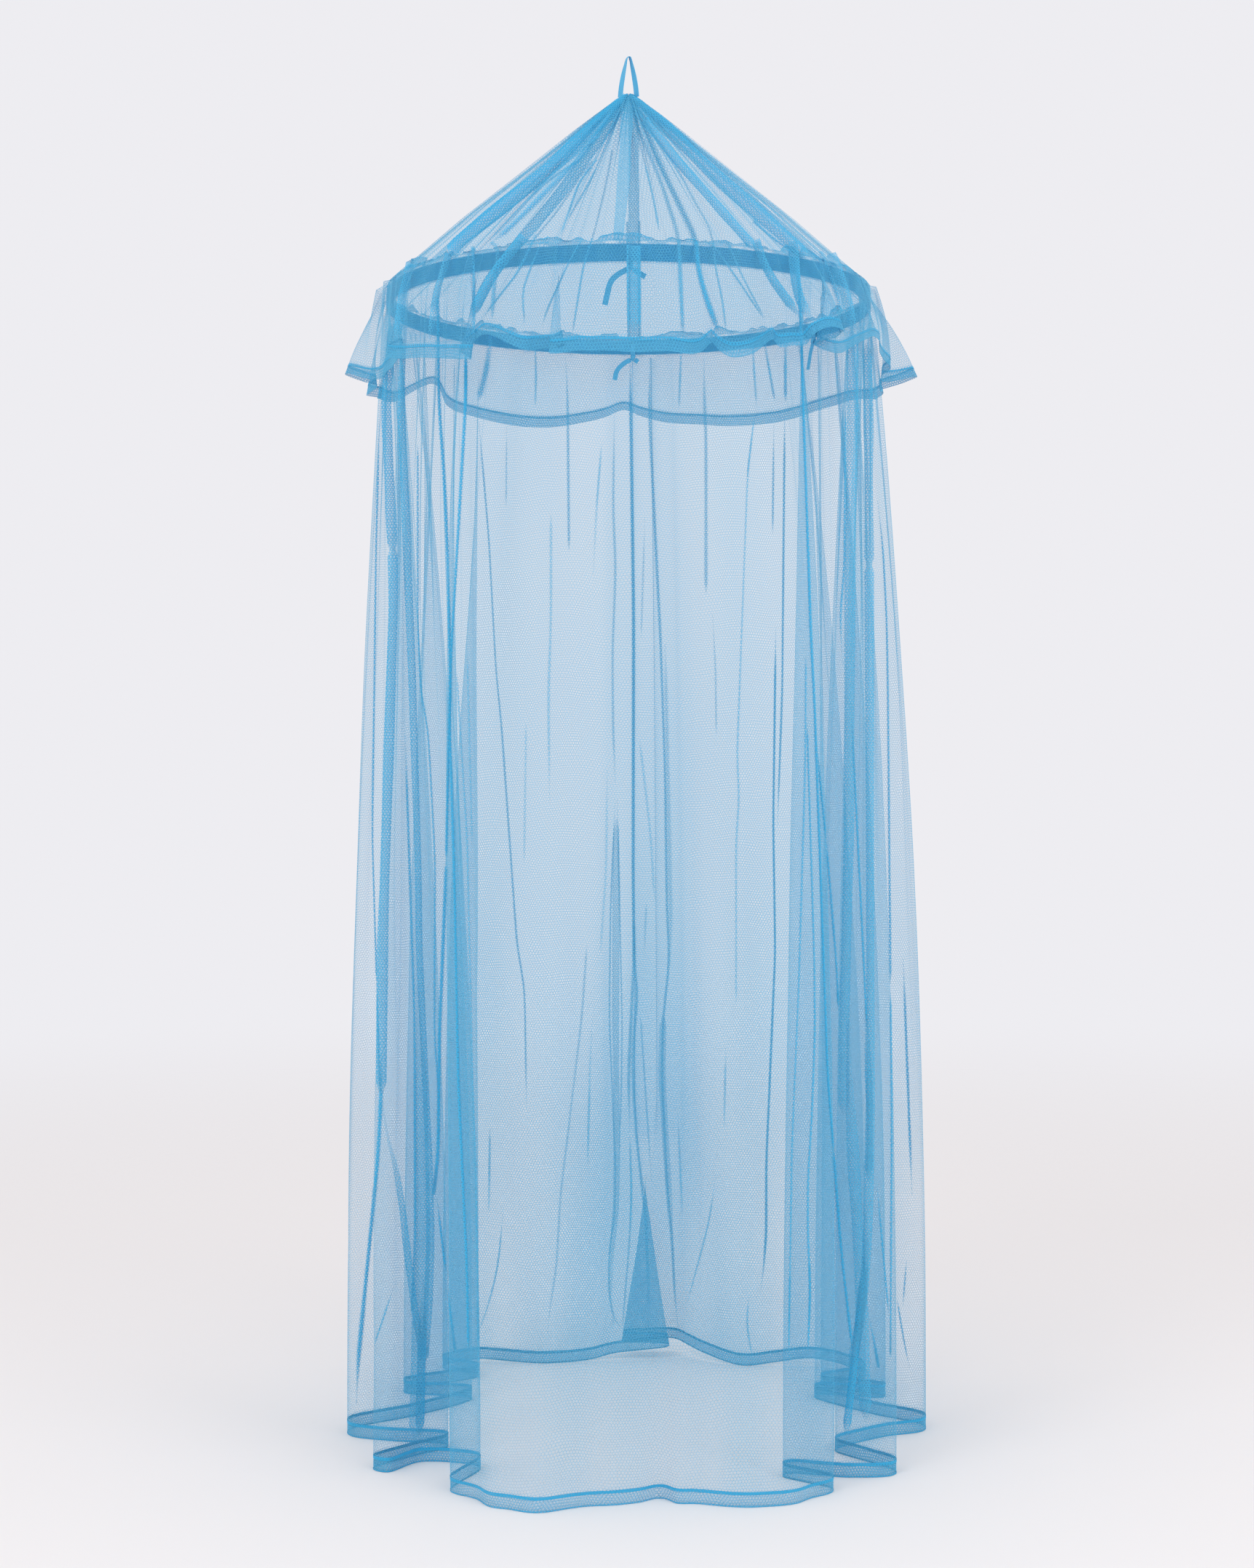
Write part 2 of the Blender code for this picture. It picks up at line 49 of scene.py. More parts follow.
HEM_DEPTH = 0.021
CASING_SEAT = 0.0007
CASING_RADIUS = HOOP_RADIUS + CASING_SEAT + CLOTH / 2
FLAP_RADIUS = HOOP_RADIUS - HOOP_STRIP - CASING_SEAT - CLOTH / 2
FLAP_DROP = 0.002
FRILL_HEIGHT = 0.0135
FRILL_RANGE = (0.0055, 0.0215)
CURTAIN_START = HOOP_BOTTOM - 0.006
LIFT_POWER = 6  # the hem's lift dies out upwards with this power of the fall
VALANCE_SLOPE_DEG = 66
VALANCE_DEPTH = 0.158
TAPE_WIDTH = 0.008
TAPE = 0.0012
LOOP_TAPE_WIDTH = 0.009
KNOT_HALF = (0.0055, 0.0026, 0.0048)
TIE_RISE = 0.018
TIE_SEAT = 0.0007
SEAT = 0.0004
TURN_CROWDING = 0.045  # how much closer the columns stand where a hem bends
TIP_SHARE = 0.12  # how far a fold's tip reaches towards its neighbours
STEPS_PER_SPAN = 60

# How finely the net is divided: columns round it, and rows down each part
CURTAIN_COLUMNS = 1150
CURTAIN_ROWS = 70
CROWN_COLUMNS = 1200
VALANCE_ROWS = 22
CONE_ROWS = 44

# The net: one hexagonal mesh is MESH_PITCH wide, and a hem's layers lie LAYER_GAP apart, with their meshes
# HEM_SHIFT out of step
MESH_PITCH = 0.0044
LAYER_GAP = 0.0007
HEM_SHIFT = 0.0011

# Where the picture is taken from: across, back and above the floor. Its height and focal length are in its
# own pixels.
EYE = (-0.0023, -3.807, 1.0026)
PICTURE_HEIGHT = 2156
FOCAL_LENGTH = 3353

# The long net's hem: where each point hangs from the hoop, its place on the floor's plan, how far each side
# of a fold stands off its middle at the tip, how far the hem is lifted, and how far the net above bulges out
Hem = namedtuple("Hem", "hoop_deg x y turn lift sway", defaults=(0, 0, 0))
CURTAIN_HEM = [
    Hem(-84, 0.038, -0.401), Hem(-76, 0.093, -0.410), Hem(-66, 0.172, -0.424), Hem(-58, 0.238, -0.408),
    Hem(-51, 0.290, -0.346, 0.013, 0, 0.004), Hem(-46, 0.228, -0.270, 0.009, 0, 0.006),
    Hem(-38, 0.318, -0.280), Hem(-31, 0.385, -0.262, 0.013), Hem(-20, 0.314, -0.137, 0.011),
    Hem(-10, 0.392, -0.062), Hem(-2, 0.458, -0.012, 0.018), Hem(9, 0.388, 0.075),
    Hem(20, 0.310, 0.188, 0.010), Hem(27, 0.418, 0.186, 0.010), Hem(34, 0.322, 0.250, 0.009),
    Hem(42, 0.398, 0.316, 0.012, 0.004), Hem(50, 0.318, 0.402, 0, 0.011), Hem(58, 0.250, 0.402, 0, 0.004),
    Hem(66, 0.195, 0.398), Hem(74, 0.130, 0.446, 0, 0.012), Hem(80, 0.080, 0.508, 0.008, 0.022),
    Hem(84, -0.010, 0.485, 0.007, 0.022), Hem(89, 0.068, 0.464, 0.007, 0.020),
    Hem(96, -0.026, 0.444, 0, 0.010), Hem(104, -0.066, 0.432, 0, 0.002), Hem(112, -0.150, 0.413),
    Hem(121, -0.262, 0.428, 0.010, 0.004), Hem(128, -0.316, 0.372, 0.010, 0.004),
    Hem(135, -0.256, 0.322, 0.010), Hem(147, -0.366, 0.216, 0.014), Hem(157, -0.258, 0.172, 0.011),
    Hem(169, -0.345, 0.058), Hem(181, -0.430, -0.036, 0.021), Hem(189, -0.358, -0.086),
    Hem(196, -0.276, -0.112, 0.009), Hem(204, -0.322, -0.172), Hem(211, -0.362, -0.246, 0.014),
    Hem(218, -0.306, -0.200, 0, 0, 0.012), Hem(226, -0.222, -0.226, 0.012, 0, 0.030),
    Hem(234, -0.252, -0.352, 0.012, 0, 0.018), Hem(242, -0.200, -0.412), Hem(250, -0.136, -0.440),
    Hem(262, -0.040, -0.424),
]

# The valance's hem: where it hangs from the hoop, its own bearing, radius and height, and its folds' tips
Valance = namedtuple("Valance", "hoop_deg hem_deg radius height turn", defaults=(0,))
VALANCE_HEM = [
    Valance(-269, -269, 0.430, 1.652), Valance(-265, -265, 0.436, 1.641), Valance(-260, -260, 0.440, 1.632),
    Valance(-248, -248, 0.442, 1.618), Valance(-234, -234, 0.436, 1.626), Valance(-225, -225, 0.432, 1.640),
    Valance(-218, -218, 0.414, 1.668), Valance(-210, -210, 0.444, 1.636), Valance(-202, -202, 0.436, 1.634),
    Valance(-198.8, -199, 0.418, 1.627), Valance(-193.9, -193.3, 0.433, 1.624, 0.002),
    Valance(-186.7, -185.5, 0.400, 1.630), Valance(-180, -180, 0.444, 1.645, 0.002),
    Valance(-171.9, -174, 0.397, 1.627), Valance(-146.4, -144.1, 0.412, 1.636, 0.005),
    Valance(-143.7, -144.6, 0.432, 1.627, 0.006), Valance(-136, -136.5, 0.438, 1.613),
    Valance(-128.5, -128.5, 0.438, 1.604), Valance(-124.3, -120.9, 0.438, 1.600, 0.003),
    Valance(-122.3, -123.6, 0.428, 1.617, 0.003), Valance(-121, -121.6, 0.424, 1.625),
    Valance(-119.8, -119.8, 0.418, 1.635), Valance(-116.3, -116.2, 0.422, 1.628),
    Valance(-113.5, -113.5, 0.426, 1.618), Valance(-110.4, -110.4, 0.428, 1.609),
    Valance(-108.6, -107.7, 0.420, 1.611), Valance(-105, -102.2, 0.430, 1.613, 0.004),
    Valance(-103, -104.6, 0.440, 1.603, 0.004), Valance(-99.9, -99.9, 0.432, 1.607),
    Valance(-96.6, -96.6, 0.430, 1.605), Valance(-90, -90, 0.430, 1.604),
    Valance(-82.5, -82.5, 0.430, 1.603), Valance(-78.3, -78.3, 0.430, 1.602),
    Valance(-76.4, -75.9, 0.424, 1.609), Valance(-74.2, -73.7, 0.414, 1.623),
    Valance(-72.3, -72.7, 0.426, 1.609), Valance(-70.3, -71.1, 0.438, 1.598),
    Valance(-68.1, -68.1, 0.436, 1.600), Valance(-64.6, -64.3, 0.426, 1.614),
    Valance(-60.8, -60.5, 0.412, 1.634, 0.002), Valance(-59.2, -59.7, 0.420, 1.623),
    Valance(-57, -57.1, 0.428, 1.624), Valance(-55.1, -55.1, 0.438, 1.625),
    Valance(-53.2, -54.5, 0.452, 1.639), Valance(-50.8, -51.7, 0.458, 1.651),
    Valance(-47.8, -47.6, 0.452, 1.647, 0.005), Valance(-45.8, -49.6, 0.444, 1.634, 0.005),
    Valance(-44.3, -51.4, 0.436, 1.629, 0.005), Valance(-42.7, -49.3, 0.430, 1.623, 0.004),
    Valance(-40, -45.5, 0.426, 1.623), Valance(-36.3, -40.2, 0.420, 1.636),
    Valance(-31, -32.8, 0.412, 1.655), Valance(-27.2, -27.2, 0.408, 1.666),
    Valance(-20.5, -19, 0.402, 1.665), Valance(-16.4, -14, 0.398, 1.657),
    Valance(-11.4, -8, 0.407, 1.649, 0.004), Valance(-6.4, -2, 0.398, 1.641, 0.004),
    Valance(-3.7, 1, 0.400, 1.630), Valance(2.5, 2.5, 0.453, 1.641, 0.002), Valance(12.3, 12, 0.418, 1.632),
    Valance(20.1, 20, 0.438, 1.639), Valance(28, 28, 0.455, 1.637), Valance(40, 40, 0.446, 1.640),
    Valance(50, 50, 0.438, 1.622), Valance(65, 65, 0.442, 1.621), Valance(79, 79, 0.436, 1.631),
    Valance(87, 87, 0.434, 1.644),
]

# The cone from the apex to the brim, and its main folds: ridges, and at the sides two wide hollows
Profile = namedtuple("Profile", "radius height")
CROWN_PROFILE = [
    Profile(0.0085, 2.0762), Profile(0.0170, 2.0695), Profile(0.0880, 2.0140), Profile(0.1800, 1.9395),
    Profile(0.2630, 1.8735), Profile(0.3300, 1.8155), Profile(0.3700, 1.7820), Profile(0.3925, 1.7610),
]
Fold = namedtuple("Fold", "at_deg half_deg height")
CROWN_FOLDS = [
    Fold(-93, 5, 0.006), Fold(-66, 7, 0.007), Fold(-47, 6, 0.010), Fold(-30, 7, 0.008), Fold(-9, 8, 0.009),
    Fold(12, 6, 0.007), Fold(31, 7, 0.008), Fold(52, 6, 0.006), Fold(70, 7, 0.005), Fold(88, 5, 0.008),
    Fold(108, 7, 0.006), Fold(129, 6, 0.007), Fold(148, 7, 0.009), Fold(169, 7, 0.010), Fold(188, 6, 0.009),
    Fold(207, 7, 0.008), Fold(226, 6, 0.008), Fold(246, 7, 0.006), Fold(-14, 42, -0.015),
    Fold(192, 42, -0.008),
]

# The hanging loop's one side, from its top down: depth below the eye's top, place off the middle, and turn
LoopStep = namedtuple("LoopStep", "depth half_width turn_deg")
LOOP_STEPS = [
    LoopStep(-0.0006, 0.0000, 14), LoopStep(0.0012, 0.0022, 16), LoopStep(0.0050, 0.0036, 20),
    LoopStep(0.0120, 0.0050, 28), LoopStep(0.0220, 0.0072, 40), LoopStep(0.0340, 0.0094, 50),
    LoopStep(0.0480, 0.0115, 55), LoopStep(0.0618, 0.0128, 56),
]

# Each tie's free ends, as steps from its knot along the hoop, out and up
Tie = namedtuple("Tie", "name hoop_deg long_end short_end")
TIES = [
    Tie(
        "tie_front",
        -89.6,
        [(-0.004, 0, -0.003), (-0.018, 0.001, -0.011), (-0.028, 0.002, -0.022), (-0.033, 0.002, -0.040),
         (-0.036, 0.003, -0.054)],
        [(0.004, 0, -0.003), (0.012, -0.002, -0.008), (0.021, -0.003, -0.013)],
    ),
    Tie(
        "tie_back",
        88.8,
        [(0.004, 0, -0.003), (0.016, -0.001, -0.010), (0.027, -0.002, -0.022), (0.031, -0.003, -0.038)],
        [(-0.003, 0, -0.003), (-0.009, -0.001, -0.007)],
    ),
    Tie(
        "tie_right",
        34.0,
        [(0.002, 0, -0.004), (0.006, -0.001, -0.018), (0.009, -0.002, -0.034), (0.011, -0.003, -0.046)],
        [(-0.003, 0, -0.003), (-0.008, -0.001, -0.006)],
    ),
]


# ---------------------------------------------------------------- curves, as in the source
def unit(vector):
    return vector / np.linalg.norm(vector)


def blend(first, second, start, end, at):
    return first + (second - first) * (at - start) / (end - start)


def row_at(rows, index, period):
    return rows[index % len(rows)] + period * (index // len(rows))


def widen_turns(rows, turns, period):
    """Each fold's tip becomes two points, one on either side of the fold, so that the curve goes round it."""
    found = []
    for index, turn in enumerate(turns):
        row = rows[index]
        if turn == 0:
            found.append(row)
            continue
        before = row_at(rows, index - 1, period)
        after = row_at(rows, index + 1, period)
        inward = unit(unit(before[:2] - row[:2]) + unit(after[:2] - row[:2]))
        across = np.array([-inward[1], inward[0]])
        if np.dot(across, before[:2] - row[:2]) < 0:
            across = -across
        for neighbour, side in ((before, turn), (after, -turn)):
            point = row + (neighbour - row) * TIP_SHARE
            point[:2] = row[:2] + across * side
            found.append(point)
    return np.array(found)


def spline(rows, period):
    """Closed centripetal Catmull-Rom curve through the rows, whose first two columns set its speed."""
    found = []
    for index in range(len(rows)):
        p0, p1, p2, p3 = (row_at(rows, index + step, period) for step in (-1, 0, 1, 2))
        knots = [0.0]
        for first, second in ((p0, p1), (p1, p2), (p2, p3)):
            knots.append(knots[-1] + math.sqrt(np.linalg.norm(second[:2] - first[:2])))
        for at in np.linspace(knots[1], knots[2], STEPS_PER_SPAN, endpoint=False):
            a1 = blend(p0, p1, knots[0], knots[1], at)
            a2 = blend(p1, p2, knots[1], knots[2], at)
            a3 = blend(p2, p3, knots[2], knots[3], at)
            b1 = blend(a1, a2, knots[0], knots[2], at)
            b2 = blend(a2, a3, knots[1], knots[3], at)
            found.append(blend(b1, b2, knots[1], knots[2], at))
    found.append(found[0] + period)
    return np.array(found)


def distances(line):
    """How far along the line each of its points lies."""
    return np.concatenate([[0.0], np.cumsum(np.linalg.norm(np.diff(line, axis=0), axis=1))])


def resampled(rows, measure, wanted):
    """The rows at the wanted places of their measure."""
    return np.stack([np.interp(wanted, measure, column) for column in rows.T], axis=1)


# A closed sheet's columns: how far along the cloth each lies, the cloth from it to the next, and the cloth's
# width. mesh_at and mesh_width are for the net's pattern, stretched to whole meshes, so that they meet.
Cloth = namedtuple("Cloth", "at steps width mesh_at mesh_width")


def cloth_of(at, width):
    mesh_width = round(width / MESH_PITCH) * MESH_PITCH
    steps = np.diff(np.append(at, at[0] + width))
    return Cloth(at, steps, width, (at * mesh_width / width)[None, :], mesh_width)


def columns_of(rows, turns, columns):
    """A hem's columns, closer together where it bends, and the cloth that they stand for."""
    period = np.zeros(rows.shape[1])
    period[2] = 360
    curve = spline(widen_turns(rows, turns, period), period)
    steps = np.diff(curve[:, :2], axis=0)
    heading = np.unwrap(np.arctan2(steps[:, 1], steps[:, 0]))
    bend = np.abs(np.diff(heading, append=heading[-1]))
    lengths = np.linalg.norm(steps, axis=1)
    crowded = lengths + TURN_CROWDING * 0.3 * bend + np.radians(np.diff(curve[:, 2])) * HOOP_RADIUS * 0.5
    measure = np.concatenate([[0.0], np.cumsum(crowded)])
    length = distances(curve[:, :2])
    wanted = np.linspace(0, measure[-1], columns, endpoint=False)
    found = resampled(np.column_stack([curve, length]), measure, wanted)
    return found[:, :-1], cloth_of(found[:, -1], length[-1])


def around(degrees, radius):
    angles = np.radians(degrees)
    return np.stack([np.cos(angles) * radius, np.sin(angles) * radius], axis=1)


def plan_normals(points):
    along = np.roll(points, -1, axis=0) - np.roll(points, 1, axis=0)
    normals = np.stack([along[:, 1], -along[:, 0]], axis=1)
    return normals / np.maximum(np.linalg.norm(normals, axis=1), 1e-9)[:, None]


def ring(plan, heights):
    """The plan at these heights above the floor, in the frame."""
    levels = np.broadcast_to(heights, len(plan)) - HOOK_HEIGHT
    return np.column_stack([plan, levels])


def turned_from(degrees, centre_deg):
    """How many degrees each bearing lies from the centre, the shorter way round."""
    return (degrees - centre_deg + 180) % 360 - 180


def smoothstep(low, high, value):
    share = np.clip((value - low) / (high - low), 0, 1)
    return share * share * (3 - 2 * share)


def rolling(values, reach):
    """The mean of each value's neighbours round a closed ring."""
    window = np.hanning(2 * reach + 3)[1:-1]
    padded = np.concatenate([values[-reach:], values, values[:reach]])
    return np.convolve(padded, window / window.sum(), mode="valid")


def uneven(rng, count, reach):
    """Random values round a closed ring that change over this reach, with a spread of one."""
    raw = rolling(rng.normal(0, 1, count), reach)
    return raw / raw.std()


# ---------------------------------------------------------------- creases
# Each path runs down the cloth as it is seen from EYE, in mm across and mm above the floor on the plane
# through the axis. A near crease lies on the side towards EYE, and a far one on the other. width is in mm,
# and layers is how many more layers of net the crease holds.
Crease = namedtuple("Crease", "side width layers path")


def near(width, layers, *path):
    return Crease("near", width, layers, path)


def far(width, layers, *path):
    return Crease("far", width, layers, path)


CURTAIN_CREASES = [
    far(2.7, 2.2,
        (-234, 1574), (-218, 1386), (-207, 1182), (-198, 1091), (-174, 751), (-162, 682), (-159, 484),
    ),
    far(2.3, 0.9, (-190, 1574), (-191, 1437)),
    near(3.4, 1, (-121, 1420), (-121, 1261), (-125, 1137), (-123, 966)),
    far(3.6, 1.8, (-100, 1700), (-95, 1608), (-93, 1375)),
    near(2.7, 0.6, (-160, 1091), (-163, 875)),
    near(2.7, 0.5, (-42, 1534), (-50, 1432), (-56, 1307)),
    far(3.4, 1.3, (-22, 1579), (-24, 1432), (-20, 1341), (-25, 1205), (-24, 1091), (-20, 989)),
    far(2.3, 1.8,
        (-20, 1000), (-28, 807), (-30, 637), (-20, 399), (-22, 319), (-31, 274), (-30, 194), (-16, 147),
    ),
    far(2.3, 1.8, (-18, 1000), (-10, 637), (-11, 523), (-16, 399)),
    far(8.5, 1, (-19, 955), (-20, 637), (-18, 410), (-20, 330), (-27, 270), (-28, 200), (-22, 150)),
    far(4.5, 3.4, (2, 1700), (8, 1261), (7, 864), (9, 699)),
    far(4.5, 2, (8, 780), (8, 716), (0, 546), (2, 455)),
    far(4.1, 2.2,
        (8, 790), (10, 705), (15, 671), (10, 637), (7, 569), (8, 523), (12, 455), (27, 319), (31, 228),
        (31, 147),
    ),
    far(2.3, 1.6, (19, 637), (37, 365)),
    far(3.6, 2.2,
        (33, 1700), (33, 1568), (50, 1227), (57, 1023), (60, 807), (64, 728), (54, 637), (52, 546),
        (61, 365), (68, 296), (72, 206), (79, 140),
    ),
    far(5.7, 0.8, (57, 1227), (66, 796), (65, 699)),
    near(3, 0.8, (18, 1068), (35, 921), (41, 813)),
    far(2.7, 0.6, (26, 1432), (20, 1239)),
    far(2.7, 0.9, (28, 819), (24, 722)),
    far(4.5, 1.6, (118, 1700), (118, 1613), (121, 1545), (121, 1307)),
    far(2.5, 0.8, (131, 1273), (136, 1182), (137, 1074)),
    near(2.5, 1.3, (196, 1574), (186, 1489), (169, 1034), (174, 989), (168, 921), (168, 648)),
    far(2.7, 1.5, (244, 1591), (240, 1148), (232, 921)),
    far(3.2, 2.4, (230, 1250), (226, 944), (229, 739), (215, 410), (215, 296), (209, 228), (203, 189)),
    far(2.7, 0.6, (227, 1568), (225, 1398)),
    far(3, 0.9, (-65, 751), (-73, 637), (-107, 353), (-112, 251), (-123, 183), (-127, 126)),
    near(3, 0.8, (-52, 671), (-59, 603), (-64, 399)),
    near(3, 0.5, (-33, 1034), (-35, 864), (-43, 751)),
    near(2.7, 0.5, (152, 592), (149, 455)),
    near(2.3, 0.8, (140, 416), (126, 319), (91, 189)),
    near(2.7, 0.5, (169, 467), (175, 387)),
    near(2.3, 0.9, (-195, 347), (-203, 251), (-220, 183), (-232, 154)),
    near(3, 0.5, (-216, 478), (-218, 342)),
    near(2.3, 0.9, (188, 206), (184, 160), (193, 109)),
    near(3, 0.6, (86, 762), (83, 694)),
    near(2.5, 0.6, (77, 489), (84, 330)),
    near(2.7, 0.8, (-252, 1216), (-244, 909)),
    far(7.9, 0.9, (-215, 1700), (-223, 1642), (-234, 1604)),
    far(3, 1, (-146, 1700), (-144, 1636), (-146, 1588)),
    far(5.7, 0.8, (-48, 1700), (-53, 1640), (-65, 1604)),
    far(2.3, 1, (-22, 1642), (-16, 1608)),
    far(3, 1, (83, 1700), (79, 1595)),
    far(2.5, 1, (167, 1700), (173, 1619)),
    far(3, 0.9, (193, 1700), (200, 1588)),
    far(3.4, 0.9, (211, 1700), (228, 1602)),
    far(4.5, 1, (245, 1700), (245, 1608)),
    near(14, 1.6, (-366, 1730), (-379, 1602), (-368, 1364), (-367, 1284), (-384, 751), (-386, 523)),
    near(9, 1.6, (-386, 523), (-378, 455), (-364, 410), (-353, 342), (-343, 251), (-322, 103)),
    near(10, 1.4,
        (-350, 1770), (-355, 1591), (-339, 1205), (-328, 864), (-327, 751), (-311, 410), (-309, 296),
        (-312, 194), (-319, 103),
    ),
    near(3.4, 1.2, (-349, 1091), (-334, 637), (-333, 296), (-338, 183)),
    near(20, 1, (-329, 716), (-325, 580), (-321, 274), (-333, -10)),
    near(11, 2.2, (-320, 230), (-326, -12)),
    near(6, 2.2, (-385, 600), (-386, 523), (-391, 421), (-422, 103), (-425, 30)),
    far(8.5, 0.8, (54, 637), (52, 546), (71, 230)),
    far(2.7, 1.6, (2, 455), (5, 362), (2, 293), (-10, 150)),
    near(11, 2.2, (367, 365), (373, 277), (338, -25)),
    near(2.7, 0.9,
        (-329, 1545), (-329, 1261), (-325, 1148), (-313, 1091), (-302, 887), (-303, 603), (-297, 535),
        (-297, 433),
    ),
    near(4.5, 2.2,
        (-298, 1780), (-296, 1596), (-288, 1489), (-283, 1375), (-278, 1182), (-285, 864), (-295, 614),
        (-297, 421), (-304, 365),
    ),
    near(4.1, 2.4,
        (-254, 1690), (-254, 1602), (-277, 1205), (-279, 1091), (-272, 864), (-266, 546), (-252, 240),
        (-250, 120),
    ),
    near(2.7, 1.4, (-268, 1171), (-252, 921), (-243, 523), (-238, 410), (-234, 69)),
    near(3.4, 1.8, (-300, 365), (-271, 120)),
    near(2.7, 1.2, (-389, 1568), (-394, 1375), (-400, 921), (-388, 523)),
    near(2.3, 0.9, (-359, 240), (-397, 126)),
    near(4, 2.2, (267, 1770), (285, 1227), (290, 1137), (311, 546), (332, 274), (350, 115)),
    near(3.4, 1.4, (291, 1091), (311, 887), (325, 716), (328, 648)),
    near(3, 1.2,
        (279, 1091), (290, 728), (291, 614), (286, 478), (280, 387), (280, 296), (284, 217), (280, 115),
    ),
    near(2.7, 1.3, (277, 1205), (276, 1034), (266, 694), (255, 433), (250, 103)),
    near(14, 1, (349, 1710), (350, 1596), (346, 1375), (344, 921), (336, 603), (336, 478)),
    near(3, 1.6, (347, 1137), (372, 626)),
    near(16, 1, (343, 637), (345, 523), (363, 217), (370, 20)),
    near(12, 1.2,
        (372, 1700), (375, 1591), (378, 523), (374, 319), (370, 240), (364, 183), (355, 126), (347, 92),
    ),
    near(9, 1.6, (370, 660), (377, 489), (375, 387)),
    near(3, 1.2, (388, 1454), (397, 1375), (403, 1261), (405, 1148), (411, 467), (409, 115)),
    near(2.7, 1.2, (385, 410), (406, 177)),
    near(3.9, 1.8, (370, 194), (381, 149), (392, 81)),
    near(3.4, 1.5, (428, 751), (443, 347)),
    near(2.3, 1, (435, 274), (428, 183)),
    near(2.3, 1, (419, 200), (431, 126), (441, 81)),
    near(3, 1, (339, 1591), (337, 1341), (330, 1261), (336, 1171)),
]
CROWN_CREASES = [
    near(8, 2.3, (-25, 2053), (-77, 1979), (-191, 1865), (-208, 1852)),
    near(20, 2.6, (-8, 2066), (-49, 2034), (-123, 1963), (-225, 1882), (-259, 1854), (-287, 1828)),
    near(3.4, 1.6, (-50, 2011), (-150, 1929), (-270, 1836)),
    near(4.1, 1, (-79, 1975), (-129, 1943), (-218, 1850)),
    far(14, 2, (-9, 2061), (-51, 2000), (-112, 1917), (-212, 1800), (-245, 1734)),
    far(3, 1.4,
        (-61, 1975), (-95, 1920), (-123, 1881), (-150, 1852), (-169, 1804), (-198, 1770), (-223, 1736),
    ),
    near(3, 1.4, (-52, 1975), (-77, 1943), (-107, 1856)),
    near(2.7, 1, (-50, 1965), (-68, 1929), (-95, 1884)),
    far(2.7, 1.2, (-25, 1993), (-34, 1943), (-54, 1861), (-70, 1816), (-87, 1709)),
    near(16, 1, (-1, 2068), (-8, 1943), (-17, 1846)),
    far(14.8, 1.6, (8, 2068), (9, 1688)),
    far(3.4, 2, (-2, 1886), (0, 1688)),
    far(3.4, 2, (17, 1886), (18, 1688)),
    far(2.7, 1, (14, 2020), (39, 1917), (48, 1866)),
    far(5.7, 1.4, (11, 2036), (51, 1942), (78, 1858), (85, 1707)),
    far(7.4, 2.4, (22, 2036), (45, 1978), (106, 1852), (107, 1814), (120, 1764), (139, 1713)),
    far(2.7, 1,
        (31, 2022), (58, 1990), (83, 1954), (98, 1919), (123, 1879), (132, 1855), (135, 1809), (146, 1764),
        (152, 1713),
    ),
    near(18, 2, (12, 2062), (46, 2040), (142, 1946), (248, 1854), (282, 1822)),
    far(11.4, 1.4, (199, 1850), (217, 1800), (266, 1734)),
    near(12, 2.2, (24, 2040), (70, 1983), (200, 1836)),
    near(3.4, 1.4, (188, 1886), (240, 1843), (279, 1822)),
    far(2.5, 1.2, (126, 1852), (158, 1809), (211, 1729)),
    far(2.5, 0.9, (154, 1852), (175, 1800), (211, 1732)),
    far(2.5, 1.2, (-73, 1852), (-95, 1816), (-110, 1778), (-127, 1747), (-135, 1718)),
    far(2.5, 1.1, (-135, 1852), (-169, 1767), (-161, 1738), (-163, 1720)),
    near(12, 1.6, (-338, 1822), (-352, 1770), (-362, 1693)),
    near(9.1, 1.2, (-279, 1835), (-300, 1772), (-311, 1693)),
    near(4.5, 1.4, (-243, 1841), (-241, 1772), (-242, 1693)),
    near(5.7, 1, (-200, 1846), (-209, 1795), (-213, 1727)),
    near(13.6, 1.4, (257, 1843), (262, 1772), (279, 1727)),
    near(14, 1.4, (318, 1826), (338, 1770), (360, 1680)),
    near(6.8, 1.2, (302, 1829), (325, 1772), (336, 1727)),
    near(4.5, 1.6, (261, 1829), (267, 1772), (269, 1716)),
]

# Each crease's strip is this much wider than stated, holds this much more net for each layer, and at the
# curtain's sides this much more again: where the crease is narrow, and where it is wide
WIDER = 1.1
DEEPER = 1.45
SIDE_DEEPER = 2.2
WIDE_SIDE_DEEPER = 0.5

# Two columns further apart than SAME_FOLD, as EYE sees them, belong to two folds. A crease that passes the
# cloth's edge by up to AT_EDGE is laid on the edge. After a step of more than JUMP it goes on along another
# fold, and a run of less than SHORTEST_RUN is left out.
SAME_FOLD = 0.03
AT_EDGE = 0.012
JUMP = 0.07
SHORTEST_RUN = 0.06

# Strips: the step along them, and across them the places, in half widths, with the net that they hold there.
# Those wider than WIDE_FROM mm have denser edges. BEYOND leaves no net.
STRIP_STEP = 0.018
WIDE_FROM = 8
BEYOND = -3
Section = namedtuple("Section", "offsets holds")
NARROW = Section([-1.5, -0.5, 0, 0.5, 1.5], [BEYOND, 0.9, 1.1, 0.9, BEYOND])
WIDE = Section(
    [-1.1, -0.98, -0.9, -0.45, 0, 0.45, 0.9, 0.98, 1.1],
    [BEYOND, 1.0, 1.25, 0.9, 0.95, 0.9, 1.25, 1.0, BEYOND],
)


def seen(points):
    """Points as EYE sees them on the plane through the axis: across, and above the floor."""
    share = -EYE[1] / (points[..., 1] - EYE[1])
    across = EYE[0] + (points[..., 0] - EYE[0]) * share
    height = EYE[2] + (points[..., 2] + HOOK_HEIGHT - EYE[2]) * share
    return across, height


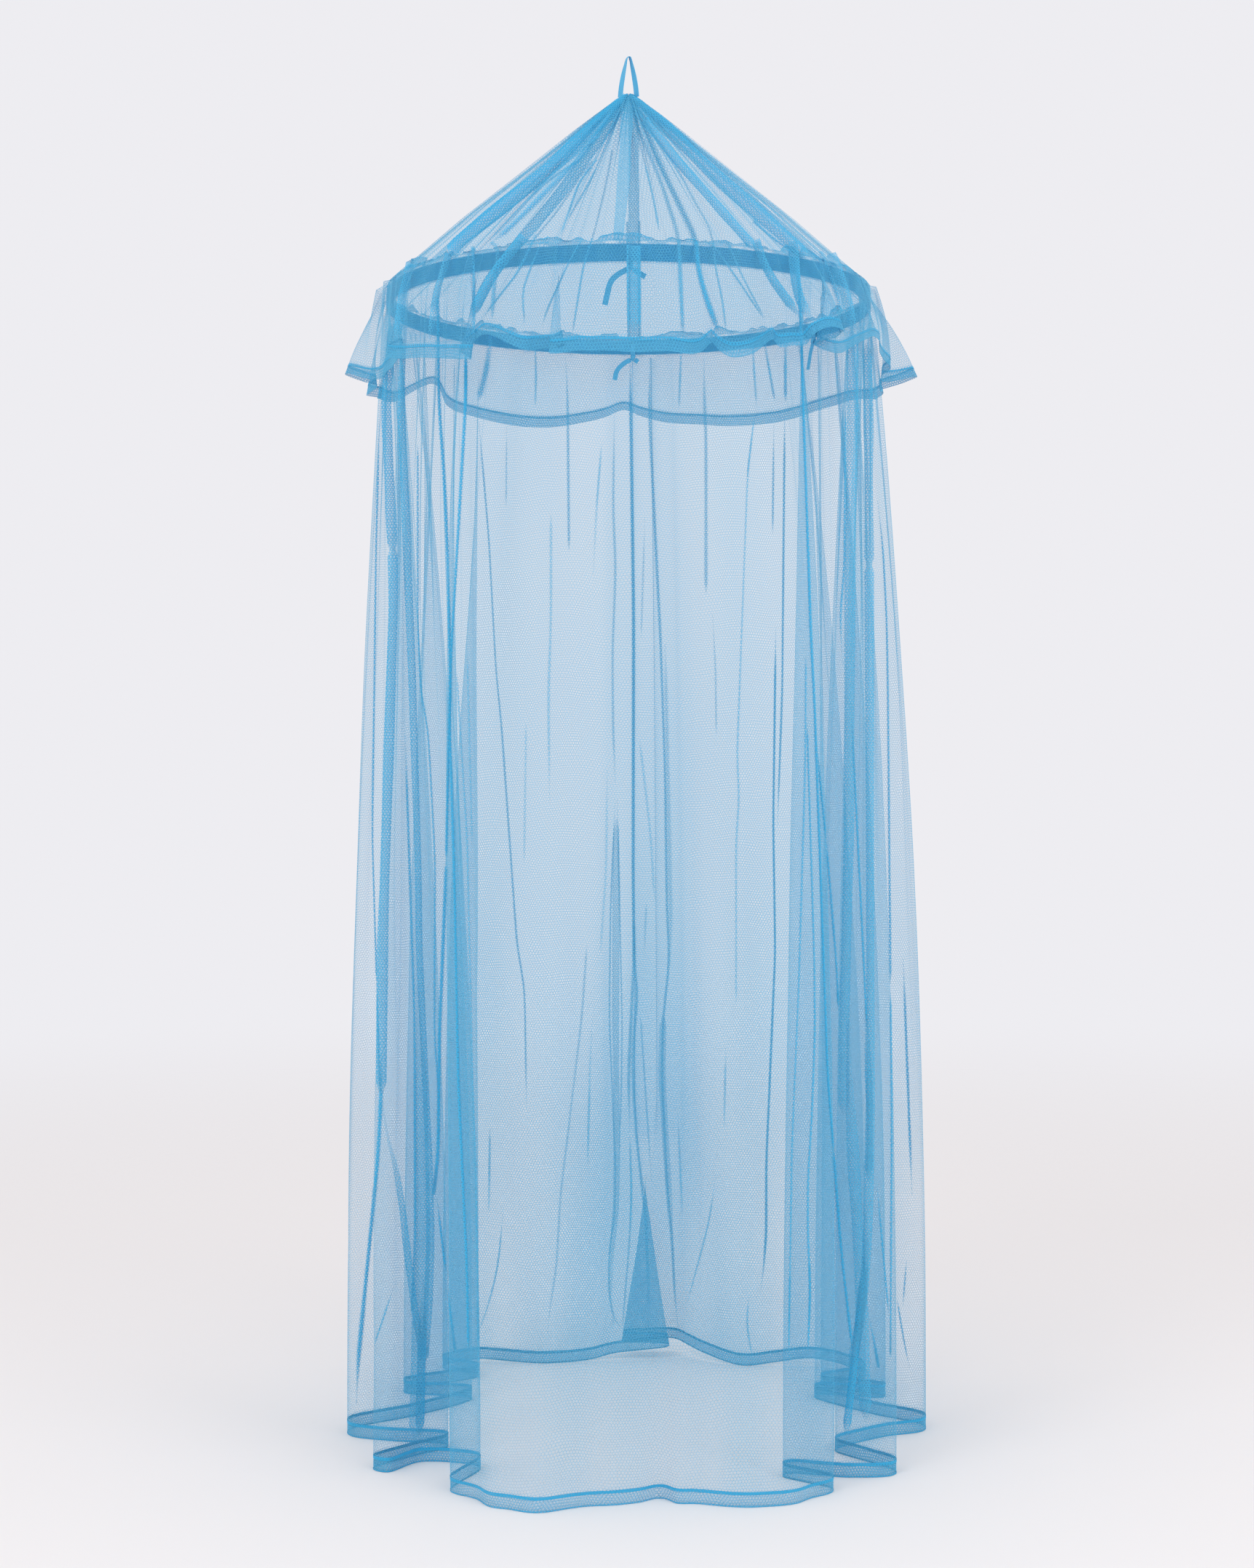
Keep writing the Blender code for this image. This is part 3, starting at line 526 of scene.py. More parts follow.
def crossing(ring_points, crease, path):
    """Where a ring of cloth passes under a crease's path: the place among the ring's columns, or None."""
    across, height = seen(ring_points)
    inside = (height <= path[0, 1]) & (height >= path[-1, 1])
    margin = min(crease.width / 2000, 0.2 * np.ptp(across))
    line = np.interp(-height, -path[:, 1], path[:, 0])
    off = across - np.clip(line, across.min() + margin, across.max() - margin)
    ahead = np.roll(off, -1)
    is_near = crease.side == "near"
    found = np.nonzero(inside & (off * ahead <= 0) & (np.abs(off - ahead) < SAME_FOLD))[0]
    if len(found) == 0:
        side = ring_points[:, 1] < 0 if is_near else ring_points[:, 1] > 0
        found = np.nonzero(inside & side)[0]
        if len(found) == 0:
            return None
        best = found[np.argmin(np.abs(off[found]))]
        return float(best) if abs(off[best]) < AT_EDGE else None
    depths = ring_points[found, 1]
    best = found[np.argmin(depths) if is_near else np.argmax(depths)]
    share = off[best] / (off[best] - ahead[best]) if off[best] != ahead[best] else 0.0
    return best + share


def along_ring(values, place):
    first = int(place) % len(values)
    share = place - int(place)
    return values[first] * (1 - share) + values[(first + 1) % len(values)] * share


def drawn_out(run, jumps):
    """The run with its ends at a jump drawn half way to the next run."""
    before = [run[0] + 0.55 * (run[0] - run[1])] if jumps[0] else []
    after = [run[-1] + 0.55 * (run[-1] - run[-2])] if jumps[1] else []
    return np.vstack([*before, run, *after])


def crease_runs(rings, crease, path):
    """The unbroken runs of places where the rings pass under the path, and which of their ends are jumps."""
    runs, run = [], []
    for ring_points in rings:
        place = crossing(ring_points, crease, path)
        if place is None:
            continue
        point = along_ring(ring_points, place)
        if run and np.linalg.norm(point - run[-1]) > JUMP:
            runs.append(run)
            run = []
        run.append(point)
    runs = [np.array(run) for run in runs + [run]]
    kept = []
    for order, run in enumerate(runs):
        jumps = (order > 0, order < len(runs) - 1)
        if len(run) > 1 and np.linalg.norm(run[-1] - run[0]) > SHORTEST_RUN:
            kept.append((drawn_out(run, jumps), jumps))
    return kept


def add_creases(net, rings, creases, seed, lift, apex=None):
    """Narrow folds on the cloth: strips a few threads wide that stand off it and hold more net. On the crown,
    whose apex has a height, those that come near to it go on to it."""
    rng = np.random.default_rng(seed)
    for crease in creases:
        path = np.array(crease.path, float) / 1000
        for found, jumps in crease_runs(rings, crease, path):
            if apex is not None and math.hypot(*found[0, :2]) < 0.07:
                found = np.vstack([found[:1] * [0.22, 0.22, 0] + [0, 0, apex], found])
            add_strip(net, found, crease, lift, apex is not None, jumps, rng)


def units(rows):
    return rows / np.linalg.norm(rows, axis=1)[:, None]


def strip_taper(points, at, crease, on_crown, jumps):
    """How full a strip is along its length. It fades at its ends, but not where the cloth is drawn in."""
    at_brim = on_crown and math.hypot(*points[-1, :2]) > 0.35
    fade = 0.02 if at_brim else 0.2 if crease.width > WIDE_FROM else 0.09
    start, end = (0.012 if jump else min(fade, at[-1] * 0.4) for jump in jumps)
    taper = np.minimum(smoothstep(0, start, at), smoothstep(0, end, at[-1] - at))
    drawn_in = on_crown or points[0, 2] + HOOK_HEIGHT > CURTAIN_START - 0.07
    return np.where(at < at[-1] / 2, 1, taper) if drawn_in else taper


def add_strip(net, found, crease, lift, on_crown, jumps, rng):
    measure = distances(found)
    at = np.linspace(0, measure[-1], max(8, int(measure[-1] / STRIP_STEP)))
    points = resampled(found, measure, at)
    points[1:-1] = (points[:-2] + points[1:-1] + points[2:]) / 3
    sight = points - np.array([EYE[0], EYE[1], EYE[2] - HOOK_HEIGHT])
    away = sight[:, 1] / -EYE[1]
    sight = units(sight)
    tangents = units(np.cross(sight, units(np.gradient(points, axis=0))))
    outward = np.sign(np.einsum("ij,ij->i", sight, points * [1, 1, 0]))
    taper = strip_taper(points, at, crease, on_crown, jumps)
    swell = 0.85 + 0.3 * np.interp(at, np.linspace(0, measure[-1], 9), rng.random(9))
    half = (crease.width * WIDER + 0.4) / 2000 * swell * (0.3 + 0.7 * taper) * away
    if on_crown:
        half = np.minimum(half, 0.24 * np.hypot(points[:, 0], points[:, 1]) + 0.0005)
    offsets, holds = (np.array(values) for values in (WIDE if crease.width > WIDE_FROM else NARROW))
    rise = np.cos(np.clip(offsets, -1, 1) * math.pi / 2)
    ridge = np.minimum(half, 0.004)[:, None] * lift * rise[None, :] + 0.0006
    grid = points[:, None] + tangents[:, None] * (half[:, None] * offsets)[..., None]
    grid = grid + sight[:, None] * (ridge * outward[:, None])[..., None]
    held = crease.layers * DEEPER + 0.3
    if not on_crown:
        deeper = SIDE_DEEPER if crease.width <= WIDE_FROM else WIDE_SIDE_DEEPER
        held = held + deeper * smoothstep(0.22, 0.25, abs(points[:, 0].mean()))
    layers = holds[None, :] * held * (0.15 + 0.85 * taper[:, None]) - (1 - taper[:, None]) * 0.8
    layers = np.where(holds > 0, layers, BEYOND)
    net.add(grid, half[:, None] * offsets + rng.random() * 0.1, at[:, None] + rng.random() * 0.1, layers)


# ---------------------------------------------------------------- gathers
# Cloth whose meander has the greatest slope SLOPES is drawn in to SHARES of its length
SLOPES = np.linspace(0, 2.25, 90)
TURN = np.linspace(0, 2 * math.pi, 240, endpoint=False)
SHARES = np.cos(SLOPES[:, None] * np.sin(TURN)).mean(axis=1)


def steepest(share):
    """The greatest slope of a meander that draws cloth in to this share of its length."""
    return np.interp(share, SHARES[::-1], SLOPES[::-1])


def wave_train(cloth, seed, shortest, longest, gap):
    """Ridges and hollows one after the other along the cloth: the slope's pattern, and where they are."""
    rng = np.random.default_rng(seed)
    pattern = np.zeros(len(cloth.at))
    cover = np.zeros(len(cloth.at))
    at = 0.0
    side = 1
    while at < cloth.width - longest * 0.6:
        length = min(rng.uniform(shortest, longest), cloth.width - at)
        inside = (cloth.at >= at) & (cloth.at < at + length)
        turns = 2 * math.pi * (cloth.at[inside] - at) / length
        pattern[inside] = side * rng.uniform(0.75, 1.1) * np.sin(turns)
        cover[inside] = 1
        side = -side if rng.random() < 0.8 else side
        at += length + gap * length * rng.uniform(0.4, 1.6)
    return pattern, cover


def steps_round(points):
    """How far it is from each point of a ring to the next."""
    return np.linalg.norm(np.roll(points, -1, axis=0) - points, axis=1)


def centred(values, reach):
    """A ring's running sum without its drift, and without changes that are slower than this reach."""
    level = values - np.linspace(0, 1, len(values)) * values[-1]
    return level - rolling(level, reach)


def gathered(plan, cloth, pattern, cover, strength, flatten, reach):
    """The plan moved along itself, how far out each column goes, and the way out, with the cloth's spare
    length taken up in the wave train."""
    steps = steps_round(plan)
    share = np.clip(rolling(steps, 12) / rolling(cloth.steps, 12), 0.02, 1)
    covered = np.clip(rolling(cover, 30), 0.15, 1)
    heading = steepest(np.clip(1 - (1 - share) / covered, -0.1, 1)) * strength * pattern
    arc = np.concatenate([[0.0], np.cumsum(steps)])
    along = centred(np.cumsum(np.cos(heading) * cloth.steps) - arc[1:], 34)
    out = centred(np.cumsum(np.sin(heading) * cloth.steps), 40)
    out = np.tanh(out * flatten / reach) * reach
    along = np.tanh(along / reach) * reach
    moved = resampled(np.vstack([plan, plan[:1]]), arc, (arc[:-1] + along) % arc[-1])
    normals = plan_normals(plan)
    return moved, out, np.column_stack([rolling(normals[:, 0], 3), rolling(normals[:, 1], 3)])


def fullness(points, cloth):
    """How much cloth each column holds for its length, less one."""
    steps = np.maximum(rolling(steps_round(points), 6), 1e-6)
    return np.clip(rolling(cloth.steps, 6) / steps - 1, 0, 8)


# ---------------------------------------------------------------- meshes
def new_object(name, data):
    made = bpy.data.objects.new(name, data)
    bpy.context.scene.collection.objects.link(made)
    return made


def new_mesh(name, points, faces, corner_uvs, material):
    mesh = bpy.data.meshes.new(name)
    mesh.from_pydata(points.tolist(), [], faces)
    layer = mesh.uv_layers.new(name="cloth")
    layer.data.foreach_set("uv", corner_uvs.astype(np.float32).ravel())
    mesh.materials.append(material)
    mesh.shade_smooth()
    return mesh


def quads(grid):
    """The four corners' values for each quad of a grid."""
    return np.stack([grid[:-1, :-1], grid[:-1, 1:], grid[1:, 1:], grid[1:, :-1]], axis=2)


class Net:
    """A net sheet as grids of rows and columns, gathered into one mesh."""

    def __init__(self):
        self.points, self.faces, self.uvs, self.held = [], [], [], []
        self.count = 0

    def add(self, points, u, v, held, width=None):
        """points is rows x columns x 3. With a width, the columns close up after that much cloth."""
        rows, columns = points.shape[:2]
        index = self.count + np.arange(rows * columns).reshape(rows, columns)
        uv = np.stack(np.broadcast_arrays(u, v), axis=-1)
        if width is not None:
            index = np.column_stack([index, index[:, :1]])
            uv = np.concatenate([uv, uv[:, :1] + np.array([width, 0.0])], axis=1)
        self.points.append(points.reshape(-1, 3))
        self.faces.append(quads(index).reshape(-1, 4))
        self.uvs.append(quads(uv).reshape(-1, 2))
        self.held.append(np.broadcast_to(held, (rows, columns)).reshape(-1))
        self.count += rows * columns

    def build(self, name, material):
        points, faces, uvs, held = map(np.concatenate, (self.points, self.faces, self.uvs, self.held))
        mesh = new_mesh(name, points, faces.tolist(), uvs, material)
        attribute = mesh.attributes.new("fullness", "FLOAT", "POINT")
        attribute.data.foreach_set("value", held.astype(np.float32))
        return new_object(name, mesh)


def drop_of(grid):
    """How far down the cloth each row of a grid lies, as its columns' mean."""
    return np.concatenate([[0.0], np.cumsum(np.linalg.norm(np.diff(grid, axis=0), axis=2).mean(axis=1))])


def add_hem(net, levels, cloth, v, held, edge_held):
    """A hem's turned-up layer and turned-in edge, on the cloth's lowest four levels."""
    inward = [np.column_stack([plan_normals(level[:, :2]), np.zeros(len(level))]) for level in levels]
    turned_up = [levels[0], *(level - normal * LAYER_GAP for level, normal in zip(levels, inward))]
    rise = np.array([0, *(v + 0.001)])[:, None]
    net.add(np.array(turned_up), cloth.mesh_at + HEM_SHIFT, rise, held, cloth.mesh_width)
    edge = [level + normal * LAYER_GAP * 0.6 for level, normal in zip(levels[2:], inward[2:])]
    net.add(np.array(edge), cloth.mesh_at, v[2:, None], edge_held, cloth.mesh_width)
    return inward


# ---------------------------------------------------------------- materials
def feed(tree, made, inputs):
    """Set a node's inputs by name or number, each to a constant or from the socket that feeds it."""
    for key, value in inputs.items():
        if isinstance(value, bpy.types.NodeSocket):
            tree.links.new(value, made.inputs[key])
        else:
            made.inputs[key].default_value = value


def node(tree, kind, inputs=None, **settings):
    made = tree.nodes.new("ShaderNode" + kind)
    for key, value in settings.items():
        setattr(made, key, value)
    feed(tree, made, inputs or {})
    return made


def maths(tree, operation, *values):
    return node(tree, "Math", dict(enumerate(values)), operation=operation).outputs[0]


def ranged(tree, value, low, high, start=0.0, end=1.0, steps="SMOOTHSTEP"):
    """Where the value lies between low and high, told from start to end."""
    inputs = {"Value": value, "From Min": low, "From Max": high, "To Min": start, "To Max": end}
    return node(tree, "MapRange", inputs, interpolation_type=steps).outputs[0]


def start_material(name, colour, roughness):
    material = bpy.data.materials.new(name)
    material.use_nodes = True
    tree = material.node_tree
    shader = tree.nodes["Principled BSDF"]
    feed(tree, shader, {"Base Color": (*colour, 1.0), "Roughness": roughness})
    return material, tree, shader


def two_tones(tree, shader, share, first, second):
    tint = node(tree, "Mix", {0: share, 6: (*first, 1), 7: (*second, 1)}, data_type="RGBA")
    feed(tree, shader, {"Base Color": tint.outputs[2]})


def add_relief(tree, shader, height, strength, depth):
    bump = node(tree, "Bump", {"Strength": strength, "Distance": depth, "Height": height})
    feed(tree, shader, {"Normal": bump.outputs[0]})


# How far the meshes drift off their even places, as they do in a soft net
MESH_DRIFT = 0.009


def hexagons(tree):
    """Three waves at 120 degrees whose sum is low along the threads of a hexagonal net."""
    uv = node(tree, "UVMap", uv_map="cloth").outputs[0]
    drift = node(tree, "TexNoise", {"Scale": 22.0, "Detail": 0.0, "Vector": uv})
    inputs = {0: drift.outputs["Color"], 1: (MESH_DRIFT, MESH_DRIFT, 0.0), 2: uv}
    moved = node(tree, "VectorMath", inputs, operation="MULTIPLY_ADD")
    size = math.sqrt(2) * 2 * math.pi / MESH_PITCH
    axes = Matrix(((1, 0, 1), (-1, 2, 1), (-1, -1, 1)))
    for row, length in zip(axes, (math.sqrt(2), math.sqrt(6), math.sqrt(3))):
        row /= length
    turned = Matrix([list(row) for row in axes]).transposed().to_euler("XYZ")
    inputs = {"Vector": moved.outputs[0], "Rotation": turned, "Scale": (size, size, size)}
    turn = node(tree, "Mapping", inputs, vector_type="POINT")
    wave = node(tree, "VectorMath", {0: turn.outputs[0]}, operation="COSINE")
    total = node(tree, "VectorMath", {0: wave.outputs[0], 1: (1, 1, 1)}, operation="DOT_PRODUCT")
    return total.outputs["Value"]


# How wide the threads look: by themselves, for each layer more, and at a slant, with the slant's sharpness.
# The pattern fades from thread to hole over THREAD_EDGE, and over HAIR_COVER even hairs cover as much as it.
THREAD_WIDTH = 0.30
LAYER_WIDENS = 0.5
SLANT_WIDENS = 1.8
SLANT_SHARPNESS = 3.5
THREAD_EDGE = (-3.2, 0.3)
HAIR_COVER = (-1.6, 4.3)

# The share of the cover that the hairs give, how many layers make the net dense, and its colours: a darker,
# deeper blue on dense net that is painted shade where the layers shade each other, and a paler blue on single
# layers that is painted light on fully lit threads
HAIRINESS = 0.45
DENSE_LAYERS = (1.5, 4.5)
SHADED_DENSE_BLUE = (0.035, 0.390, 0.672)
LIT_SINGLE_BLUE = (0.105, 0.438, 0.662)


def net_material():
    """Threads round open holes, wider where more net lies together and where it's seen at a slant."""
    material, tree, shader = start_material("net_mesh", (0.06, 0.42, 0.69), 0.6)
    sheen = {"Sheen Weight": 0.25, "Sheen Roughness": 0.6, "Sheen Tint": (0.16, 0.72, 1.0, 1)}
    slant = node(tree, "LayerWeight", {"Blend": 0.5}).outputs["Facing"]
    held = node(tree, "Attribute", attribute_name="fullness").outputs["Fac"]
    closing = maths(tree, "MULTIPLY", maths(tree, "POWER", slant, SLANT_SHARPNESS), SLANT_WIDENS)
    wider = maths(tree, "ADD", maths(tree, "MULTIPLY_ADD", held, LAYER_WIDENS, THREAD_WIDTH), closing)
    threads = ranged(tree, maths(tree, "SUBTRACT", hexagons(tree), wider), *THREAD_EDGE, 1.0, 0.0)
    hairs = maths(tree, "MULTIPLY", ranged(tree, wider, *HAIR_COVER), HAIRINESS)
    covered = maths(tree, "MULTIPLY_ADD", threads, 1 - HAIRINESS, hairs)
    feed(tree, shader, {"Specular IOR Level": 0.3, "Alpha": covered, **sheen})
    # Painted shade and painted light: the colour goes from the paler lit blue on single layers to the darker
    # shaded blue where several layers lie together, with noise for a tone that differs at random
    noise = node(tree, "TexNoise", {"Scale": 7.0, "Detail": 2.0}).outputs["Fac"]
    lit_single_share = maths(tree, "SUBTRACT", 1.0, ranged(tree, held, *DENSE_LAYERS, steps="LINEAR"))
    mottled_lit_share = maths(tree, "MULTIPLY", maths(tree, "ADD", noise, 0.25), lit_single_share)
    two_tones(tree, shader, mottled_lit_share, SHADED_DENSE_BLUE, LIT_SINGLE_BLUE)
    return material


def tape_material():
    material, tree, shader = start_material("tape_weave", (0.05, 0.40, 0.72), 0.6)
    uv = node(tree, "UVMap", uv_map="cloth").outputs[0]
    inputs = {"Scale": 330.0, "Distortion": 0.6, "Vector": uv}
    weave = node(tree, "TexWave", inputs, wave_type="BANDS", bands_direction="DIAGONAL")
    feed(tree, shader, {"Sheen Weight": 0.2})
    add_relief(tree, shader, weave.outputs["Fac"], 0.5, 0.0002)
    two_tones(tree, shader, weave.outputs["Fac"], (0.03, 0.34, 0.60), (0.12, 0.50, 0.76))
    return material


def hoop_material():
    material, tree, shader = start_material("hoop_plastic", (0.014, 0.27, 0.54), 0.42)
    noise = node(tree, "TexNoise", {"Scale": 60.0, "Detail": 4.0}).outputs["Fac"]
    two_tones(tree, shader, noise, (0.010, 0.24, 0.49), (0.018, 0.30, 0.59))
    add_relief(tree, shader, noise, 0.15, 0.0003)
    return material


# ---------------------------------------------------------------- curtain
# The back's pleat opens only below PLEAT_ABOVE. Its middle lies at PLEAT_ACROSS, and its Z-fold lies between
# the two bearings of PLEAT_DEG.
PLEAT_ABOVE = 0.45
PLEAT_ACROSS = 0.032
PLEAT_DEG = (75, 98)

# Where the long net hangs slacker and looks denser, placed as EYE sees it: mm across, mm above the floor,
# half widths across and up, and how much more net
Slack = namedtuple("Slack", "side across height half tall amount")
SLACK_AREAS = [
    Slack("far", 0, 380, 270, 480, 0.8),
    Slack("near", 0, 0, 270, 420, 0.15),
    Slack("far", 28, 230, 30, 130, 0.3),
    Slack("far", 8, 420, 75, 420, 0.9),
    Slack("far", -60, 300, 50, 300, 0.6),
    Slack("far", 110, 350, 60, 260, 0.4),
    Slack("far", -180, 250, 40, 320, 0.3),
    Slack("far", 190, 380, 30, 500, 0.35),
    Slack("near", -30, 1250, 60, 260, 0.2),
    Slack("near", 60, 700, 40, 380, 0.25),
]

# Small kinks in the front hem: where across, half how wide and how far in. They fade upwards over KINK_RISE.
Kink = namedtuple("Kink", "across half inward")
KINK_RISE = 0.11
HEM_KINKS = [
    Kink(-0.225, 0.025, 0.012), Kink(-0.188, 0.020, -0.008), Kink(-0.128, 0.032, -0.014),
    Kink(-0.060, 0.035, 0.006), Kink(0.046, 0.020, 0.018), Kink(0.066, 0.016, -0.010),
    Kink(0.150, 0.050, -0.006), Kink(0.262, 0.022, 0.010),
]


def slack_of(ring_points):
    across, height = seen(ring_points)
    total = np.zeros(len(across))
    for area in SLACK_AREAS:
        side = ring_points[:, 1] > 0.15 if area.side == "far" else ring_points[:, 1] < -0.15
        over = (across * 1000 - area.across) / area.half
        up = (height * 1000 - area.height) / area.tall
        total += area.amount * np.exp(-(over**2 + up**2)) * side
    return total


def relaxed(columns, cloth):
    """The columns' hem places with the back's pleat drawn out flat."""
    places = columns[:, :2].copy()
    first, last = (np.argmin(np.abs(columns[:, 2] - end)) for end in PLEAT_DEG)
    share = ((cloth.at[first : last + 1] - cloth.at[first]) / (cloth.at[last] - cloth.at[first]))[:, None]
    places[first : last + 1] = places[first] * (1 - share) + places[last] * share
    return places


def curtain_plan(columns, flat, ripple, height):
    """The long net's plan at a height, and how far down it is as a share of its fall."""
    fallen = (CURTAIN_START - height) / CURTAIN_START
    spread = 1 - (1 - fallen) ** 2
    opened = np.clip(1 - height / PLEAT_ABOVE, 0, 1) ** 1.1
    hem = flat + (columns[:, :2] - flat) * opened
    circle = around(columns[:, 2], CASING_RADIUS)
    plan = circle * (1 - spread) + hem * spread
    plan = plan + circle / CASING_RADIUS * (columns[:, 4] * math.sin(math.pi * spread))[:, None]
    low = math.exp(-height / KINK_RISE)
    inward = sum(kink.inward * np.exp(-(((plan[:, 0] - kink.across) / kink.half) ** 2)) for kink in HEM_KINKS)
    front = np.clip((-0.30 - plan[:, 1]) / 0.06, 0, 1)
    normals = plan_normals(plan)
    plan = plan - normals * (inward * front * low)[:, None]
    plan = plan + normals * (ripple * (0.25 + 0.75 * low) * (1 - math.exp(-fallen / 0.1)))[:, None]
    return plan, fallen


def curtain_held(points, height, cloth, walls, slack):
    """How much net each column holds at a height. walls says how far each column belongs to the front or back
    wall, and to the front alone."""
    wall, front = walls
    # Slack folds, more of them lower down
    place = height / CURTAIN_START * (len(slack) - 1)
    folds = slack[int(place)] * (1 - place % 1) + slack[min(int(place) + 1, len(slack) - 1)] * (place % 1)
    loose = 0.08 + 0.12 * folds + (0.30 + 0.22 * folds) * np.clip((1.3 - height) / 0.9, 0, 1)
    # The open pleat's layers lie apart, so its net counts hardly more than once
    off_pleat = np.clip((np.abs(points[:, 0] - PLEAT_ACROSS) - 0.055) / 0.05, 0, 1) + (points[:, 1] < 0)
    most = 0.25 + 8 * (off_pleat + np.clip((height - 0.38) / 0.1, 0, 1))
    held = np.minimum(fullness(points, cloth), most) * 0.8 + loose
    # Thinner at the sides, high on the walls and low at the front, and denser at the right edge
    held = held * (1 - 0.2 * wall) - 0.7 * (1 - wall) - 0.3 * smoothstep(1.0, 1.5, height) * wall
    held = held - 0.25 * front * (1 - smoothstep(0.04, 0.25, height))
    return held + 0.4 * smoothstep(0.385, 0.42, points[:, 0]) + slack_of(points)


def make_curtain(material):
    rows = np.array([(row.x, row.y, row.hoop_deg, row.lift, row.sway) for row in CURTAIN_HEM])
    columns, cloth = columns_of(rows, [row.turn for row in CURTAIN_HEM], CURTAIN_COLUMNS)
    flat = relaxed(columns, cloth)
    rng = np.random.default_rng(5)
    drift = rng.uniform(0, 2 * math.pi, 3)
    ripple = rolling(rng.normal(0, 1, CURTAIN_COLUMNS), 14) * 0.0036
    pattern, cover = wave_train(cloth, 11, 0.026, 0.052, 0.45)
    bearing = np.sin(np.radians(columns[:, 2]))
    wall = smoothstep(0.62, 0.86, np.abs(bearing))
    front = wall * (bearing < 0)
    upwards = np.linspace(0.05, CURTAIN_START, CURTAIN_ROWS)
    levels = np.array([0.0, 0.004, 0.0165, HEM_DEPTH, 0.026, *upwards])
    slack = [uneven(rng, CURTAIN_COLUMNS, reach) for reach in (9, 24, 12, 30, 15, 24)]
    grid, held = [], []
    for height in levels:
        plan, fallen = curtain_plan(columns, flat, ripple, height)
        near_hoop = smoothstep(0.0, 0.05, CURTAIN_START - height)
        near_floor = smoothstep(0.0, 0.30, height)
        strength = near_hoop * (0.2 + 0.45 * near_floor) * (1 - 0.8 * wall)
        sway = 0.006 * np.sin(3.0 * height + drift[0] + cloth.at * 6)
        sway = sway + 0.004 * np.sin(7.0 * height + drift[1])
        here = np.interp((cloth.at + sway) % cloth.width, cloth.at, pattern, period=cloth.width)
        plan, out, normals = gathered(plan, cloth, here, cover, strength, 1.0, 0.006)
        grid.append(ring(plan + normals * out[:, None], height + columns[:, 3] * fallen**LIFT_POWER))
        held.append(curtain_held(grid[-1], height, cloth, (wall, front), slack))
    grid, held = np.array(grid), np.array(held)
    turns = 2 * math.pi * cloth.at
    rise = levels[:, None] + 0.005 * np.sin(turns / 0.33 + 1.0) + 0.0025 * np.sin(turns / 0.14)
    net = Net()
    hem_held = 2.0 - 1.2 * front
    held[:4] = np.maximum(held[:4], hem_held)
    net.add(grid, cloth.mesh_at, rise, held, cloth.mesh_width)
    inward = add_hem(net, grid[:4], cloth, levels[:4], hem_held, 7.0)
    lower_fold = [grid[0], grid[0] + (grid[1] - grid[0]) * 0.55] + inward[0] * LAYER_GAP * 0.6
    net.add(lower_fold, cloth.mesh_at, np.array([0.0, 0.002])[:, None], 4.0, cloth.mesh_width)
    body = net.build("net_curtain_cloth", material)

    creases = Net()
    add_creases(creases, grid[3:], CURTAIN_CREASES, 31, 0.7)
    folds = creases.build("net_curtain_creases", material)
    return body, folds, make_casing(material, grid[-1], columns[:, 2], cloth, wall)


